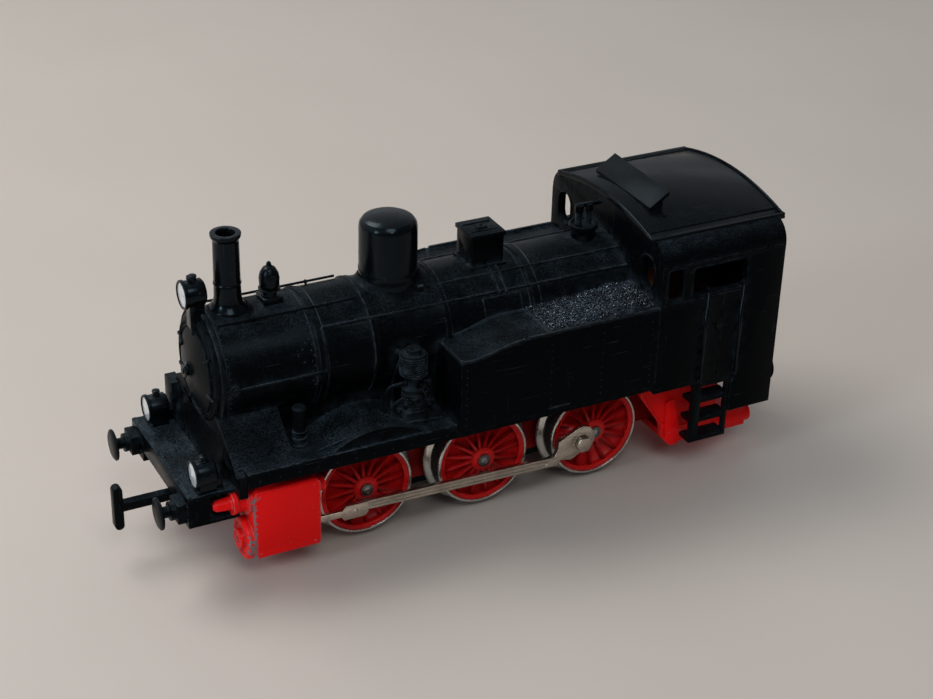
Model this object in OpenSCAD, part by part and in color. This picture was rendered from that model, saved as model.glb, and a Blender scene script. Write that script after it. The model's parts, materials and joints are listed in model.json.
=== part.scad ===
// Six-coupled tank locomotive, H0 scale, electric drive.
// +X runs forward to the chimney, +Y to the engine's left, +Z up.
// The origin is on the ground plane under the middle of the engine.
// All lengths are in millimetres.

/* [Engine] */
// Length over the buffer heads
buffer_length = 110; // [106:0.5:116]
// Half of the width over tanks and cab
half_width = 17.8; // [17:0.1:18.6]
// Height of the boiler's centre line above the rail
boiler_z = 29.8; // [29:0.1:30.6]
// Outer radius of the boiler cladding
boiler_r = 9.2; // [8.8:0.05:9.6]

/* [Wheels] */
// Distance between neighbouring axles
wheel_pitch = 20.8; // [20.4:0.1:21.2]
// Radius of the wheel tread
tread_r = 8.1; // [7.8:0.05:8.2]
// Radius over the flange
flange_r = 9.2; // [8.9:0.05:9.3]
// Distance between the backs of the two wheels of an axle
back_to_back = 14; // [13.8:0.1:14.2]
// Number of spokes
spokes = 16; // [10:1:20]

/* [Rods] */
// Throw of the crank pins
crank_throw = 3.6; // [3:0.1:3.8]
// Length of a connecting rod between its centres
rod_length = 41.2; // [40.5:0.1:41.6]

/* [Cab] */
// Front of the cab's front wall
cab_front_x = -27.4; // [-28:0.1:-27]
// Back of the cab's rear wall
cab_rear_x = -50.8; // [-51.5:0.1:-50]
// Height of the roof's crown above the rail
roof_top_z = 45.95; // [45.7:0.05:46.3]

/* [Hidden] */
$fn = 64;

black = [0.06, 0.06, 0.065];
gloss_black = [0.03, 0.03, 0.035];
red = [0.80, 0.08, 0.06];
nickel = [0.72, 0.70, 0.66];
steel = [0.55, 0.55, 0.57];
brass = [0.78, 0.62, 0.28];
copper = [0.72, 0.40, 0.22];
rubber = [0.05, 0.05, 0.05];

// Axles
axle_z = tread_r;
rail_z = flange_r - tread_r;
axle_r = 1.0;
axle_bore_r = 1.05;
axle_end_y = 11.35;
wheel_back_y = back_to_back / 2;
wheel_front_y = 10.9;
tread_y = 8.1;
tyre_inner_r = 7.6;
band_groove = 0.35;

// Splashers
splash_z = 8.3;
splash_r = 13.6;

// Frame block
frame_y = 6.2;
frame_top = 17;
frame_bottom = 4.6;
coupler_roof = 9.6;
screw_x = 12.1;

// Rods
rod_y0 = 12.3;
rod_y1 = 13.15;
cross_y0 = 13.35;
cross_y1 = 14.0;
cross_z = 6.6;
cylinder_front = 41.2;
valve_y = 12.6;
valve_z = 12.9;
cross_x = sqrt(pow(rod_length, 2) - pow(axle_z - cross_z, 2)) - wheel_pitch + crank_throw;
cross_right_x = sqrt(pow(rod_length, 2) - pow(cross_z - axle_z + crank_throw, 2)) - wheel_pitch;
rod_left_tilt = asin((axle_z - cross_z) / rod_length);
rod_right_tilt = -asin((cross_z - axle_z + crank_throw) / rod_length);

// Shell
wall = 1.2;
board_top = 19.6;
board_z = 18.4;
board_y = 16.6;
valance_z = 17.2;
deck_z = 15.5;
deck_y = 13;
beam_x = 50.8;
beam_bottom = 10.3;
smokebox_front = 43.3;
tank_front = 7.9;
tank_bottom = 18.8;
tank_top = 32.7;
tank_lip = 30.9;
bore_r = 8.1;

// Roof
roof_r = 50.1;
roof_thick = 0.6;
gutter_y = 14.76;
shoulder_y = 14.1;
shoulder_z = 40;

// Gears, all of one module
gear_module = 0.4;
axle_teeth = 20;
idler_teeth = 36;
lower_small = 14;
lower_big = 26;
upper_small = 10;
upper_big = 28;
pinion_teeth = 10;
gear_pin_r = 0.6;
gear_bore_r = 0.66;
plane_a = -0.5;
plane_b = 0.8;
plane_c = 2.0;
gear_w = 0.8;

function mesh(a, b) = gear_module * (a + b) / 2;
idler_x = -wheel_pitch / 2;
idler_z = axle_z + sqrt(pow(mesh(axle_teeth, idler_teeth), 2) - pow(wheel_pitch / 2, 2));
lower_x = -wheel_pitch;
lower_z = axle_z + mesh(axle_teeth, lower_small);
upper_dir = 110;
upper_x = lower_x + mesh(lower_big, upper_small) * cos(upper_dir);
upper_z = lower_z + mesh(lower_big, upper_small) * sin(upper_dir);
motor_dir = 160;
motor_x = upper_x + mesh(upper_big, pinion_teeth) * cos(motor_dir);
motor_z = upper_z + mesh(upper_big, pinion_teeth) * sin(motor_dir);

// Phase of gear b, in degrees, that puts its gap on a tooth of gear a,
// where dir is the direction from a to b
function phase(dir, a, phase_a, b) = dir + 180 - (360 / b) * (0.5 - (dir - phase_a) * a / 360);
idler_dir = atan2(idler_z - axle_z, idler_x + wheel_pitch);
idler_phase = phase(idler_dir, axle_teeth, 0, idler_teeth);
middle_dir = atan2(axle_z - idler_z, -idler_x);
middle_phase = phase(middle_dir, idler_teeth, idler_phase, axle_teeth);
lower_phase = phase(90, axle_teeth, 0, lower_small);
upper_phase = phase(upper_dir, lower_big, lower_phase, upper_small);
pinion_phase = phase(motor_dir, upper_big, upper_phase, pinion_teeth);

// ---- helpers ----

// Heights in the modules below count from the top of the rail
module raised() {
    translate([0, 0, rail_z]) children();
}

// A box from corner to corner
module block(a, b) {
    translate(a) cube([b[0] - a[0], b[1] - a[1], b[2] - a[2]]);
}

// A round bar along X, Y or Z from one end to the other
module bar_x(x0, x1, y, z, r) {
    translate([x0, y, z]) rotate([0, 90, 0]) cylinder(r = r, h = x1 - x0);
}
module bar_y(x, y0, y1, z, r) {
    translate([x, y1, z]) rotate([90, 0, 0]) cylinder(r = r, h = y1 - y0);
}
module bar_z(x, y, z0, z1, r) {
    translate([x, y, z0]) cylinder(r = r, h = z1 - z0);
}

// An outline of (x, z) points, drawn out along Y
module along_y(y0, y1) {
    translate([0, y1, 0]) rotate([90, 0, 0]) linear_extrude(height = y1 - y0) children();
}

// An outline of (y, z) points, drawn out along X
module along_x(x0, x1) {
    translate([x0, 0, 0]) rotate([90, 0, 90]) linear_extrude(height = x1 - x0) children();
}

// The same thing on the left and on the right
module both_sides() {
    children();
    mirror([0, 1, 0]) children();
}

// A square with rounded corners, from corner to corner
module soft_square(a, b, r) {
    translate([a[0] + r, a[1]]) square([b[0] - a[0] - 2 * r, b[1] - a[1]]);
    translate([a[0], a[1] + r]) square([b[0] - a[0], b[1] - a[1] - 2 * r]);
    for (x = [a[0] + r, b[0] - r], y = [a[1] + r, b[1] - r]) translate([x, y]) circle(r = r);
}

// A slot with round ends between two points on one height
module slot_2d(x0, x1, y, r) {
    translate([x0, y - r]) square([x1 - x0, 2 * r]);
    translate([x0, y]) circle(r = r);
    translate([x1, y]) circle(r = r);
}

// A solid of revolution about a line along X, from (x, radius) points
module turned_x(x, y, z, points) {
    translate([x, y, z]) rotate([0, 90, 0]) rotate_extrude()
        polygon([for (p = points) [p[1], p[0]]]);
}

// A spur gear about a line along Y, centred on y
module gear(x, y, z, teeth, turn, width = gear_w) {
    pitch_r = gear_module * teeth / 2;
    tip_r = pitch_r + 0.75 * gear_module;
    root_r = pitch_r - 1.15 * gear_module;
    step = 360 / teeth;
    translate([x, y + width / 2, z]) rotate([90, 0, 0]) linear_extrude(height = width)
        rotate(turn) {
            circle(r = root_r);
            for (i = [0:teeth - 1]) rotate(i * step)
                polygon([
                    [root_r * 0.9, -0.30 * step * PI / 180 * pitch_r],
                    [root_r, -0.27 * step * PI / 180 * pitch_r],
                    [pitch_r, -0.20 * step * PI / 180 * pitch_r],
                    [tip_r, -0.09 * step * PI / 180 * pitch_r],
                    [tip_r, 0.09 * step * PI / 180 * pitch_r],
                    [pitch_r, 0.20 * step * PI / 180 * pitch_r],
                    [root_r, 0.27 * step * PI / 180 * pitch_r],
                    [root_r * 0.9, 0.30 * step * PI / 180 * pitch_r]
                ]);
        }
}

// ---- frame ----

module tower_outline(x) {
    long = x < -31;
    polygon([
        [x, 16], [-17, 16], [-17, 19], [-20, 25.5],
        [-27.5, long ? 27.5 : 25.5], [x, long ? 27.5 : 21]
    ]);
}

module chassis() {
    color(red) raised() difference() {
        union() {
            block([-46, -frame_y, frame_bottom], [41.6, frame_y, frame_top]);
            along_y(2.8, 4.6) tower_outline(-33);
            along_y(-2.4, -1.3) tower_outline(-30.5);
            bar_z(screw_x, 0, 16, 20, 2.4);
        }
        block([-31, -1.3, 0], [5.2, 2.8, 18]);
        block([36, -8, 0], [50, 8, coupler_roof]);
        block([-50, -8, 0], [-37, 8, coupler_roof]);
        for (i = [-1:1]) bar_y(i * wheel_pitch, -8, 8, axle_z, axle_bore_r);
        bar_y(idler_x, -5, 5, idler_z, gear_pin_r + 0.02);
        bar_y(lower_x, -5, 5, lower_z, gear_pin_r + 0.02);
        bar_y(upper_x, -5, 5, upper_z, gear_pin_r + 0.02);
        bar_y(motor_x, 2.5, 5, motor_z, 0.8);
        bar_z(screw_x, 0, 11.5, 21, 1.0);
        bar_z(10.4, 0, 4, 8, 1.6);
    }
    color(red) raised() coupler_stud(39.5);
    color(red) raised() coupler_stud(-41);
}

// Headed stud under the frame that a coupling swings on
module coupler_stud(x) {
    bar_z(x, 0, 7.2, 10, 0.9);
    bar_z(x, 0, 6.7, 7.4, 1.5);
}

module ashpan_side() {
    polygon([
        [-28.3, 16.9], [-28.6, 13.4], [-32.9, 7.2], [-33.4, 4.6],
        [-34.6, 3.0], [-50.2, 3.0], [-50.2, 6.4], [-43.5, 6.4], [-43.5, 16.9]
    ]);
}

module ashpan() {
    color(red) raised() {
        both_sides() {
            along_y(11.3, 12.5) ashpan_side();
            along_y(12.4, 13.2) slot_2d(-35.4, -35.3, 4.6, 1.6);
            along_y(12.4, 13.2) polygon([[-36.9, 4.6], [-33.8, 4.6], [-33.2, 11.5], [-34.6, 12]]);
            bar_x(-51.2, -43.5, 11.0, 4.7, 1.7);
        }
        block([-50.2, -12, 3.0], [-34.6, 12, 4.2]);
        both_sides() block([-44.2, 6.2, 4], [-42.8, 12, 16.9]);
    }
}

module keeper_plate() {
    color(black) raised() difference() {
        block([-26, -6, 3.3], [26, 6, frame_bottom]);
        block([-27, -1.3, 3], [5, 0.4, 5]);
        bar_z(10.4, 0, 3, 5, 1.3);
        for (x = [-24, 24], y = [-4.5, 4.5]) bar_z(x, y, 3, 5, 0.6);
    }
}

module gear_pins() {
    color(steel) raised() {
        bar_y(idler_x, -4.5, 4.5, idler_z, gear_pin_r);
        bar_y(lower_x, -4.5, 4.5, lower_z, gear_pin_r);
        bar_y(upper_x, -2.35, 4.5, upper_z, gear_pin_r);
    }
}

// ---- cylinders ----

module cylinder_block() {
    difference() {
        union() {
            intersection() {
                along_x(30.4, cylinder_front) soft_square([8.4, 3.1], [15.3, 15.3], 0.6);
                along_y(8, 15.4) soft_square([30.4, 3.1], [cylinder_front, 15.3], 1.1);
            }
            block([30.6, frame_y, 9.8], [cylinder_front, 9, 15.3]);
            turned_x(cylinder_front - 0.1, 11.9, 5.6, [
                [0, 0], [0, 3.45], [0.9, 3.45], [1.2, 3.1], [1.2, 2.5], [1.0, 2.5],
                [1.0, 1.6], [1.8, 1.6], [1.8, 0.7], [1.5, 0.7], [1.5, 0]
            ]);
            bar_x(cylinder_front - 0.1, 42.6, 9.2, 9.3, 0.8);
            turned_x(cylinder_front - 0.1, valve_y, valve_z, [
                [0, 0], [0, 2.3], [0.7, 2.3], [0.7, 1.7], [2.3, 1.7], [2.3, 1.9],
                [3.0, 1.9], [3.0, 1.1], [5.3, 0.9], [5.8, 0.5], [5.8, 0]
            ]);
            bar_x(28.9, 30.5, 12.6, 12.6, 1.3);
        }
        block([30, cross_y0 - 0.25, cross_z - 0.85], [40.2, cross_y1 + 0.2, cross_z + 0.85]);
    }
}

module cylinder_left() {
    color(red) raised() cylinder_block();
}

module cylinder_right() {
    color(red) raised() mirror([0, 1, 0]) cylinder_block();
}

// ---- body shell ----

// Cab outline seen from the front, shrunk by inset
module cab_section(inset, low) {
    half = half_width - inset;
    r = half_width - shoulder_y - inset;
    translate([-half, low]) square([2 * half, shoulder_z - low]);
    for (s = [-1, 1]) translate([s * shoulder_y, shoulder_z]) circle(r = r);
    translate([-shoulder_y, low]) square([2 * shoulder_y, shoulder_z + r - low]);
}

// Roof sheet seen from the front
module roof_section() {
    intersection() {
        difference() {
            translate([0, roof_top_z - roof_r]) circle(r = roof_r, $fn = 256);
            translate([0, roof_top_z - roof_r]) circle(r = roof_r - roof_thick, $fn = 256);
        }
        translate([-gutter_y, shoulder_z]) square([2 * gutter_y, 10]);
    }
    for (s = [-1, 1]) translate([s * (gutter_y - 0.05) - 0.4, 42.95]) square([0.8, 1.0]);
}

// Window with round ends, upright, in the cab's end walls
module porthole(y) {
    translate([y, 36.6]) circle(r = 1.9);
    translate([y, 38.4]) circle(r = 1.9);
    translate([y - 1.9, 36.6]) square([3.8, 1.8]);
}

module cab_solid() {
    difference() {
        union() {
            along_x(cab_rear_x, cab_front_x) cab_section(0, valance_z);
            along_x(cab_rear_x, -26) intersection() {
                translate([0, roof_top_z - roof_r]) circle(r = roof_r - roof_thick, $fn = 256);
                translate([-shoulder_y, shoulder_z]) square([2 * shoulder_y, 8]);
            }
            block([cab_rear_x, -half_width, 10.4], [-42.65, half_width, 20]);
        }
        block([cab_front_x, -20, 30], [-20, 20, 50]);
        along_x(-60, -20) roof_section();
        along_x(cab_rear_x + wall, cab_front_x - wall) cab_section(wall, 0);
        block([cab_rear_x + wall, -13.2, 38], [cab_front_x - wall, 13.2, 50]);
        along_x(-60, -20) for (s = [-1, 1]) porthole(s * 13.4);
        along_y(-20, 20) {
            soft_square([-31.4, 33.6], [-28.7, 39.2], 0.5);
            soft_square([-43.6, 33.9], [-33.4, 38.7], 0.6);
        }
        both_sides() block([-43.0, half_width - 0.2, 16], [-36.2, 20, 33.4]);
        block([-52, -15, 8], [-44.8, 15, 10.41]);
    }
}

module tank_side() {
    rise = tank_top - tank_lip;
    polygon(concat(
        [
            [cab_front_x - 0.5, tank_top], [cab_front_x - 0.5, tank_bottom],
            [tank_front, tank_bottom], [tank_front, tank_lip]
        ],
        [for (t = [0 : 0.125 : 1]) [tank_front - 1.5 - 10 * t, tank_lip + rise * t * t * (3 - 2 * t)]]
    ));
}

module boiler_solid() {
    bar_x(26.9, smokebox_front, 0, boiler_z, boiler_r - 0.06);
    bar_x(-28, 27, 0, boiler_z, boiler_r);
    for (x = [27, 18, 5.6, -10]) bar_x(x - 0.4, x + 0.4, 0, boiler_z, boiler_r + 0.2);
}

module deck_solid() {
    block([-34.3, -board_y, board_z], [42.5, board_y, board_top]);
    both_sides() block([-34.3, 15.8, valance_z], [42.5, board_y, board_top]);
    block([41.8, -14.5, 14.3], [43.2, 14.5, board_top]);
    block([42.7, -deck_y, beam_bottom], [beam_x, deck_y, deck_z]);
    along_x(34.3, 43.8) polygon([[-15.3, 18.6], [-8.2, 24.8], [8.2, 24.8], [15.3, 18.6]]);
    along_y(-9.8, 9.8) polygon([[42.5, 14.5], [44.9, 15], [43.6, 22.5], [42.5, 22.5]]);
    block([-28, -6.9, board_z], [34.5, 6.9, 24]);
    block([43.1, -13.5, 14.3], [44.85, -10.2, 22]);
    intersection() {
        both_sides() bar_y(wheel_pitch, 6.5, 16, splash_z, splash_r);
        block([0, -20, 19], [45, 20, 25]);
    }
}

module body_shell() {
    color(black) raised() difference() {
        union() {
            boiler_solid();
            deck_solid();
            both_sides() along_y(6.5, half_width) tank_side();
            cab_solid();
        }
        difference() {
            bar_x(-29, smokebox_front - wall, 0, boiler_z, bore_r);
            bar_z(screw_x, 0, 20, 40, 2.3);
        }
        block([cab_front_x + wall, -15.8, 10], [-3, 15.8, 30.9]);
        block([-4, -15.8, 10], [tank_front - wall, 15.8, 29.7]);
        block([cab_front_x - 2, -13, 10], [cab_front_x + 2, 13, 30.9]);
        difference() {
            block([tank_front - 2, -5.8, 10], [33.4, 5.8, 26]);
            bar_z(screw_x, 0, 20, 40, 2.3);
        }
        block([43.2, -9.2, 8], [beam_x - wall, 9.2, 14.3]);
        block([beam_x - 2, -8, 9], [beam_x + 1, 8, 12.2]);
        both_sides() bar_x(41, 47.4, valve_y, valve_z, 2.15);
        block([-34.4, -15.4, 18], [cab_front_x - wall, 15.4, 20]);
        bar_x(smokebox_front, 47, 0, boiler_z, 8.35);
        along_x(35.5, 42.4) polygon([[-13, 17.5], [-7, 23.4], [7, 23.4], [13, 17.5]]);
        both_sides() intersection() {
            bar_y(wheel_pitch, 7.7, 15.2, splash_z, splash_r - 1);
            block([0, -20, 17], [45, 20, 25]);
        }
        bar_z(screw_x, 0, 10, 45, 1.05);
        bar_z(screw_x, 0, 22, 45, 1.75);
    }
}

module cab_roof() {
    color(black) raised() along_x(-52, -26.6) roof_section();
}

module roof_vent() {
    color(black) raised() difference() {
        union() {
            along_y(-8.5, 8.5) polygon([[-30.1, 45.45], [-30.1, 46.1], [-33.6, 48.4], [-33.6, 47.7]]);
            along_y(-7.9, 7.9) polygon([[-30.4, 44.6], [-30.4, 45.75], [-32.9, 47.35], [-32.9, 44.6]]);
        }
        bar_x(-40, -20, 0, roof_top_z - roof_r, roof_r, $fn = 256);
    }
}

// ---- boiler fittings ----

// Turned fitting on the boiler's crown, from (radius, z) points
module on_boiler(x, points) {
    difference() {
        translate([x, 0, 0]) rotate_extrude() polygon(points);
        bar_x(x - 12, x + 12, 0, boiler_z, boiler_r);
    }
}

module chimney() {
    color(gloss_black) raised() on_boiler(38.6, [
        [0, 36.5], [3.0, 36.5], [3.0, 39.2], [2.65, 39.6], [2.25, 40.2], [2.1, 41.1],
        [2.05, 43.1], [2.2, 43.3], [2.05, 43.5], [2.0, 50.4], [2.35, 51.0],
        [2.35, 51.5], [1.5, 51.5], [1.3, 50.8], [1.3, 44], [0, 44]
    ]);
}

module bell() {
    color(gloss_black) raised() {
        on_boiler(31.9, [
            [0, 38], [1.1, 38], [1.1, 41.1], [1.55, 41.4], [1.6, 42.7], [1.45, 43.5],
            [1.0, 44.3], [0.45, 44.7], [0.3, 45.3], [0, 45.4]
        ]);
        difference() {
            block([30.3, -1.7, 37.5], [33.5, 1.7, 39.9]);
            bar_x(20, 40, 0, boiler_z, boiler_r);
            bar_z(31.9, 0, 37, 41, 1.0);
        }
    }
}

module steam_dome() {
    color(gloss_black) raised() difference() {
        union() {
            on_boiler(screw_x, [
                [0, 35], [4.9, 35], [4.9, 38.9], [4.75, 39.4], [4.6, 40.1], [4.6, 47.5],
                [4.45, 48.2], [4.0, 48.8], [3.2, 49.2], [1.6, 49.5], [0, 49.6]
            ]);
            bar_z(screw_x, 0, 34, 42, 1.65);
        }
    }
}

module sandbox() {
    color(black) raised() difference() {
        union() {
            block([-6.8, -2.75, 36], [-1.3, 2.75, 43.6]);
            block([-7.05, -3.0, 43.5], [-1.05, 3.0, 44.2]);
            block([-7.2, -3.3, 36], [-0.9, 3.3, 38.9]);
        }
        bar_x(-12, 4, 0, boiler_z, boiler_r);
    }
}

module safety_valves() {
    color(black) raised() {
        on_boiler(-23, [
            [0, 37], [2.1, 37], [2.0, 40.2], [2.4, 40.6], [2.4, 41.2], [2.0, 41.3],
            [2.0, 40.9], [0, 40.9]
        ]);
        for (x = [-23.9, -22.1]) {
            bar_z(x, 0, 40.8, 43.8, 0.5);
            bar_z(x, 0, 43.4, 44.6, 0.7);
        }
        block([-26.1, -0.35, 44.2], [-21.6, 0.35, 44.8]);
    }
}

module smokebox_door() {
    cap_r = 18;
    color(black) raised() {
        turned_x(smokebox_front, 0, boiler_z, [
            [0, 0], [0, 8.3], [0.45, 8.3], [0.7, 8.0], [0.7, 7.3], [0.5, 7.3], [0.5, 0]
        ]);
        intersection() {
            translate([45.4 - cap_r, 0, boiler_z]) sphere(r = cap_r, $fn = 96);
            bar_x(43.5, 47, 0, boiler_z, 7.0);
        }
        bar_x(45, 46.2, 0, boiler_z, 0.8);
    }
}

module lamp_housing(x, y, z) {
    turned_x(x - 3.5, y, z, [[0, 0], [0, 1.8], [0.3, 2.1], [3.1, 2.1], [3.1, 0]]);
}

module top_lamp() {
    color(black) raised() difference() {
        union() {
            lamp_housing(45.9, 0, 42.6);
            block([42.6, -0.9, 37], [44.9, 0.9, 41.5]);
            bar_z(44.2, 0, 44, 45.3, 0.5);
            bar_z(44.2, 0, 45.0, 45.4, 0.75);
        }
        bar_x(40, smokebox_front, 0, boiler_z, boiler_r - 0.06);
        block([40, -3, 35], [smokebox_front + 0.7, 3, boiler_z + 8.35]);
    }
}

module front_lamps() {
    color(black) raised() both_sides() {
        lamp_housing(49.2, 10.7, 18.1);
        block([46, 8.9, deck_z], [48.6, 12.5, 17]);
        block([44.9, 9.8, deck_z], [46.5, 12.2, 17.4]);
    }
}

module lamp_lenses() {
    color(nickel) raised() {
        for (y = [-10.7, 10.7]) turned_x(48.8, y, 18.1, [[0, 0], [0, 1.95], [0.25, 1.9], [0.4, 0]]);
        turned_x(45.5, 0, 42.6, [[0, 0], [0, 1.95], [0.25, 1.9], [0.4, 0]]);
    }
}

module buffer(y) {
    turned_x(buffer_length / 2, y, 12.8, [
        [0, 0], [0, 2.2], [-0.2, 2.55], [-0.45, 2.55], [-0.8, 0.9], [-1.9, 0.9],
        [-1.9, 1.5], [-4.2, 1.5], [-4.2, 0]
    ]);
    block([beam_x, y - 1.8, 11.2], [beam_x + 1.5, y + 1.8, 14.4]);
}

module front_buffers() {
    color(black) raised() for (y = [-10.75, 10.75]) buffer(y);
}

module rear_buffers() {
    color(black) raised() mirror([1, 0, 0]) for (y = [-10.75, 10.75]) buffer(y);
}

module cab_steps() {
    color(black) raised() both_sides() {
        block([-37.0, 16.8, 5.7], [-35.3, 17.6, valance_z]);
        block([-42.5, 16.8, 5.7], [-41.7, 17.6, valance_z]);
        for (z = [5.7, 9.4, 13.1]) block([-42.5, 14.6, z], [-35.3, 17.6, z + 0.8]);
        block([-42.5, 14.6, 16.2], [-35.3, 17.6, valance_z]);
    }
}

module cab_handrails() {
    color(black) raised() both_sides() for (x = [-36.2, -43.0]) {
        bar_z(x, half_width + 0.3, 17.4, 34.2, 0.3);
        for (z = [17.8, 33.8]) bar_y(x, half_width, half_width + 0.3, z, 0.25);
    }
}

module air_pump() {
    pump_x = 13.4;
    pump_y = 12.2;
    color(black) raised() difference() {
        union() {
            block([11.4, 10.4, 19.6], [15.4, 14, 22]);
            bar_z(pump_x, pump_y, 21, 25.4, 1.7);
            bar_z(pump_x, pump_y, 25, 28, 1.0);
            bar_z(pump_x, pump_y, 27.6, 31.6, 2.0);
            bar_z(pump_x, pump_y, 31.5, 32.4, 1.2);
        }
        bar_y(wheel_pitch, 6, 16, splash_z, splash_r);
    }
}

module coal_load() {
    color(black) raised() difference() {
        along_y(7.6, 16.6) polygon([
            [-27.4, tank_top], [-7.6, tank_top], [-11, 33.3], [-20, 33.9], [-27.4, 34.3]
        ]);
        bar_x(-30, 0, 0, boiler_z, boiler_r + 0.2);
    }
}

module body_screw() {
    color(steel) raised() {
        bar_z(screw_x, 0, 12, 22.5, 0.95);
        difference() {
            bar_z(screw_x, 0, 22, 23.4, 1.65);
            block([10, -0.25, 22.9], [14, 0.25, 24]);
        }
    }
}

// ---- motor ----

module motor_field() {
    color(steel) raised() along_y(-7.4, -2.6) difference() {
        union() {
            translate([motor_x, motor_z]) circle(r = 7.2);
            translate([-34, frame_top]) square([7, 3]);
            translate([-44.5, 18.5]) square([13, 2]);
            translate([-44.5, 28.4]) square([13, 2]);
            translate([-44.5, 18.5]) square([2, 11.9]);
        }
        translate([motor_x, motor_z]) circle(r = 5.7);
    }
}

module field_coil() {
    color(copper) raised() difference() {
        along_y(-9.4, -0.6) soft_square([-46.5, 20.8], [-40.4, 28.1], 1);
        block([-44.6, -7.5, 20], [-42.4, -2.5, 29]);
    }
}

module motor_shield() {
    color(brass) raised() {
        difference() {
            union() {
                along_y(-8.3, -7.5) soft_square([-37, 18.4], [-24, 30.5], 1.5);
                for (s = [-1, 1]) {
                    translate([motor_x - 1.3, -10.4, motor_z + s * 4 - 1.6]) cube([2.6, 2.4, 3.2]);
                    translate([motor_x + s * 4.4 - 0.6, -12.2, motor_z - 1.2]) cube([1.2, 4.2, 2.4]);
                }
                block([motor_x - 5, -12.2, motor_z - 1.2], [motor_x + 5, -11.3, motor_z + 1.2]);
            }
            bar_y(motor_x, -11, -7, motor_z, 2.25);
            bar_y(motor_x, -13, -7, motor_z, 0.8);
            bar_z(motor_x, -9.3, 17, 33, 0.82);
        }
    }
}

module brushes() {
    color(gloss_black) raised() for (s = [0, 180]) translate([motor_x, 0, motor_z]) rotate([0, s, 0])
        bar_z(0, -9.3, 2.06, 5.5, 0.8);
}

module armature() {
    color(steel) raised() {
        bar_y(motor_x, -12.1, 4.4, motor_z, 0.75);
        along_y(-7.2, -2.8) translate([motor_x, motor_z]) difference() {
            circle(r = 5.4);
            for (a = [60, 180, 300]) rotate(a) translate([2.2, -0.9]) square([6, 1.8]);
            for (a = [60, 180, 300]) rotate(a) translate([3.1, 0]) circle(r = 1.5);
        }
    }
}

module armature_windings() {
    color(copper) raised() translate([motor_x, 0, motor_z]) for (a = [60, 180, 300])
        rotate([0, a, 0]) bar_y(3.1, -7.45, -2.45, 0, 0.9);
}

module commutator() {
    color(copper) raised() difference() {
        bar_y(motor_x, -10.4, -8.4, motor_z, 2.0);
        bar_y(motor_x, -11, -8, motor_z, 0.75);
        for (a = [0, 60, 120]) translate([motor_x, -9, motor_z]) rotate([0, a, 0])
            block([1.7, -2, -0.1], [2.5, 2, 0.1]);
    }
}

module motor_pinion() {
    color(brass) raised() difference() {
        gear(motor_x, plane_c, motor_z, pinion_teeth, pinion_phase);
        bar_y(motor_x, 0, 4, motor_z, 0.75);
    }
}

// ---- reversing relay ----

module relay_coil() {
    color(copper) raised() bar_x(-11, -1, 0, 26, 3.5);
    color(steel) raised() {
        bar_x(-11.4, 0.5, 0, 26, 1.2);
        block([-1, -4.2, 20.9], [0, 4.2, 30]);
        block([-12, -4.2, 20.9], [0, 4.2, 21.7]);
        both_sides() block([-1, 3.2, frame_top], [0, 4.2, 21]);
    }
}

module relay_armature() {
    color(steel) raised() {
        bar_y(-12.25, -3.2, 3.2, 22.1, 0.35);
        block([-12.6, -3.2, 22.1], [-11.9, 3.2, 29.6]);
        block([-12.6, -1, 29], [-11.9, 1, 31.2]);
    }
}

// ---- wheelsets ----

module axle(x) {
    color(steel) raised() {
        bar_y(x, -axle_end_y, axle_end_y, axle_z, axle_r);
    }
}

// One spoked wheel centre on the left end of an axle at x
module wheel_centre(x, turn) {
    translate([x, 0, axle_z]) rotate([0, turn, 0]) difference() {
        union() {
            rotate([-90, 0, 0]) rotate_extrude() polygon([
                [0, 7.3], [2.4, 7.3], [2.6, 8.0], [tyre_inner_r, 8.2],
                [tyre_inner_r, 10.6], [7.0, 10.6], [6.8, 9.5], [2.0, 9.5],
                [1.9, 10.9], [1.7, 11.1], [0, 11.1]
            ]);
            for (i = [0:spokes - 1]) rotate([0, i * 360 / spokes, 0]) along_y(9.3, 10.4)
                polygon([[1.6, -0.30], [6.9, -0.20], [6.9, 0.20], [1.6, 0.30]]);
        }
        bar_y(0, 0, 12, 0, axle_r);
    }
}

module wheel_pair(x, turn) {
    wheel_centre(x, turn);
    mirror([0, 1, 0]) wheel_centre(x, turn);
}

// Boss for the crank pin, on the left; turn is the crank's angle above forward
module crank_boss(turn) {
    translate([-wheel_pitch, 0, axle_z]) rotate([0, -turn, 0]) {
        bar_y(crank_throw, 9.3, rod_y0 - 0.1, 0, 1.5);
        along_y(9.3, 10.9) polygon([[0.9, -1.7], [crank_throw, -1.4], [crank_throw, 1.4], [0.9, 1.7]]);
    }
}

module rear_centre(turn) {
    difference() {
        union() {
            wheel_centre(-wheel_pitch, 0);
            crank_boss(turn);
        }
        translate([-wheel_pitch, 0, axle_z]) rotate([0, -turn, 0]) bar_y(crank_throw, 9.0, 13, 0, 0.8);
        bar_y(-wheel_pitch, 0, 12, axle_z, axle_r);
    }
}

module tyre_ring(x, grooved) {
    translate([x, 0, axle_z]) rotate([-90, 0, 0]) rotate_extrude($fn = 96) polygon(concat(
        [
            [tyre_inner_r, wheel_back_y], [flange_r - 0.35, wheel_back_y],
            [flange_r, wheel_back_y + 0.3], [flange_r, wheel_back_y + 0.55],
            [flange_r - 0.3, wheel_back_y + 0.85], [tread_r + 0.05, tread_y]
        ],
        grooved ? [
            [tread_r, 8.6], [tread_r - band_groove, 8.6],
            [tread_r - band_groove, 10.3], [tread_r, 10.3]
        ] : [],
        [
            [tread_r - 0.05, wheel_front_y - 0.15], [tread_r - 0.2, wheel_front_y],
            [tyre_inner_r, wheel_front_y]
        ]
    ));
}

module tyre_pair(x, grooved) {
    color(nickel) raised() both_sides() tyre_ring(x, grooved);
}

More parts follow.
